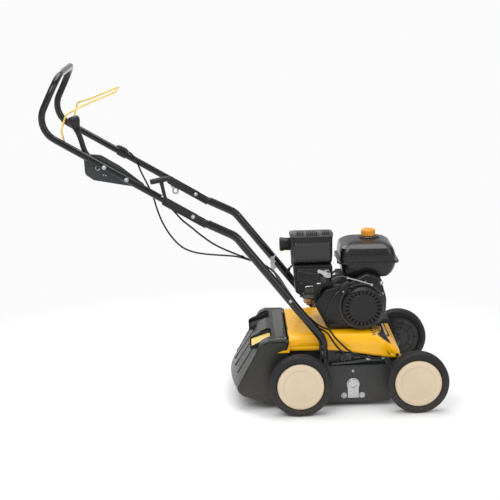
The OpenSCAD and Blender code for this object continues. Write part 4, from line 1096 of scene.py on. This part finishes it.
def make_fasteners():
    """Bolts and screws that show: bright ones outside, black ones on the handle ears."""
    zinc = Shape()
    for side in (-1, 1):
        tall = 6 if side < 0 else 2.8
        for x in (-232, -173):
            zinc.lathe([(0, 0), (9.6, 0), (9.6, 1.4), (8, 1.6), (8, tall), (6, tall + 1.2), (0, tall + 1.4)],
                       (x, side * 200.3, 37), (0, side, 0), 6 if side < 0 else 24)
            zinc.lathe([(0, 0), (9.8, 0), (9.8, 1.5), (0, 1.5)], (x, side * 200.3, 37), (0, side, 0), 28)
        dome_screw(zinc, (-202, side * 200.3, 119), (0, side, 0), 3)
        dome_screw(zinc, (-402, side * 227.7, 366), (0, side, 0), 3.6)
        dome_screw(zinc, (FOLD.x, side * 228.3, FOLD.y), (0, side, 0), 4.4)
        dome_screw(zinc, (FOLD.x, side * 199.7, FOLD.y), (0, -side, 0), 4.4)
    for x, z in ((-223, 372), (-101, 363), (-101, 400)):
        dome_screw(zinc, (x, -152.3, z), (0, -1, 0), 4.2)
    zinc.piece("bright_bolts", "chassis", "zinc_steel", ("fasteners",), bevel=0.3)
    black = Shape()
    for side in (-1, 1):
        for z in (176, 204):
            dome_screw(black, (EAR_X, side * 227.8, z), (0, side, 0), 5)
    black.piece("ear_bolts", "chassis", "engine_plastic")


# ---------------------------------------------------------------- wheels
def make_wheel(name, x, side):
    """Ribbed rubber tyre on a dished plastic rim, with a push-on cap outside."""
    body = f"wheel_{name}"
    centre, out = (x, side * WHEEL_Y, WHEEL_R), (0, side, 0)
    tyre = Shape()
    tread = []
    for h in (-11, 0, 11):
        tread += [(WHEEL_R, h - 1.6), (WHEEL_R - 2.2, h - 0.9), (WHEEL_R - 2.2, h + 0.9), (WHEEL_R, h + 1.6)]
    half = [(WHEEL_R - 0.1, 14), (WHEEL_R - 0.7, 17), (WHEEL_R - 2.6, 20), (WHEEL_R - 6, 22), (WHEEL_R - 9, 22.5),
            (WHEEL_R - 10, 23), (WHEEL_R - 12, 23), (WHEEL_R - 13, 22.4), (WHEEL_R - 18, 22), (WHEEL_R - 22, 20.5),
            (WHEEL_R - 23.2, 19)]
    tyre.lathe([(r, -h) for r, h in half[::-1]] + tread + half, centre, out, 120, close=True)
    tyre.piece(f"tyre_tread_{name}", body, "tyre", (f"tyre_{name}",), angle=40)
    rim = Shape()
    rim.lathe([(6.1, -26), (18, -26), (21, -24.5), (24, -21), (30, -19), (38, -18.4), (40, -19.6), (42, -18.2), (56, -16.6),
               (58, -17.8), (60, -16.2), (68, -13.5), (73, -14), (76.4, -17), (76.4, 17), (72.5, 18), (72.5, -9),
               (60, -12), (26, -14), (16, -14), (16, 8), (6.1, 8)], centre, out, 96, close=True)
    rim.piece(f"rim_dish_{name}", body, "rim_plastic", (f"rim_{name}",), angle=28)
    ribs = Shape()
    for k in range(10):
        a = 2 * math.pi * k / 10
        ca, sa = math.cos(a), math.sin(a)
        outline = [(24, -1.2), (66, -0.9), (66, 0.9), (24, 1.2)]
        rings = []
        for depth in (-14, -19.6):
            rings.append(ribs.ring([(x + r * ca - w * sa, side * (WHEEL_Y + depth), WHEEL_R + r * sa + w * ca)
                                    for r, w in outline]))
        ribs.bridge(rings)
        ribs.bm.faces.new(rings[0])
        ribs.bm.faces.new(rings[1][::-1])
    ribs.piece(f"rim_ribs_{name}", body, "rim_plastic", bevel=0.4)
    cap = Shape()
    cap.lathe([(0, 26.4), (20, 26.3), (38, 25.8), (50, 25), (53.5, 24.6), (54.6, 25), (55.4, 26.2), (56.4, 26.9),
               (62, 27.2), (68, 26.9), (71.5, 26), (73.8, 24.2), (74.8, 21.8), (75, 19.2), (72, 19), (70, 21), (54, 22),
               (0, 22.4)], centre, out, 128)
    cap.piece(f"cap_disc_{name}", body, "cap_cream", (f"cap_{name}",), angle=50)


def make_wheels():
    for x, end in ((0, "front"), (-WHEELBASE, "rear")):
        for side, name in ((1, "left"), (-1, "right")):
            make_wheel(f"{end}_{name}", x, side)


make_camera()
make_stage()
make_front_panel(make_hood())
make_chassis()
make_catcher()
make_tank()
make_air_filter()
make_carburettor()
make_shroud()
make_recoil()
make_controls()
make_handle()
make_levers()
make_clamps()
make_cables()
make_fasteners()
make_wheels()
for node, obj in frame["nodes"].items():
    if not obj.hide_render:
        refine(node, 0.6)
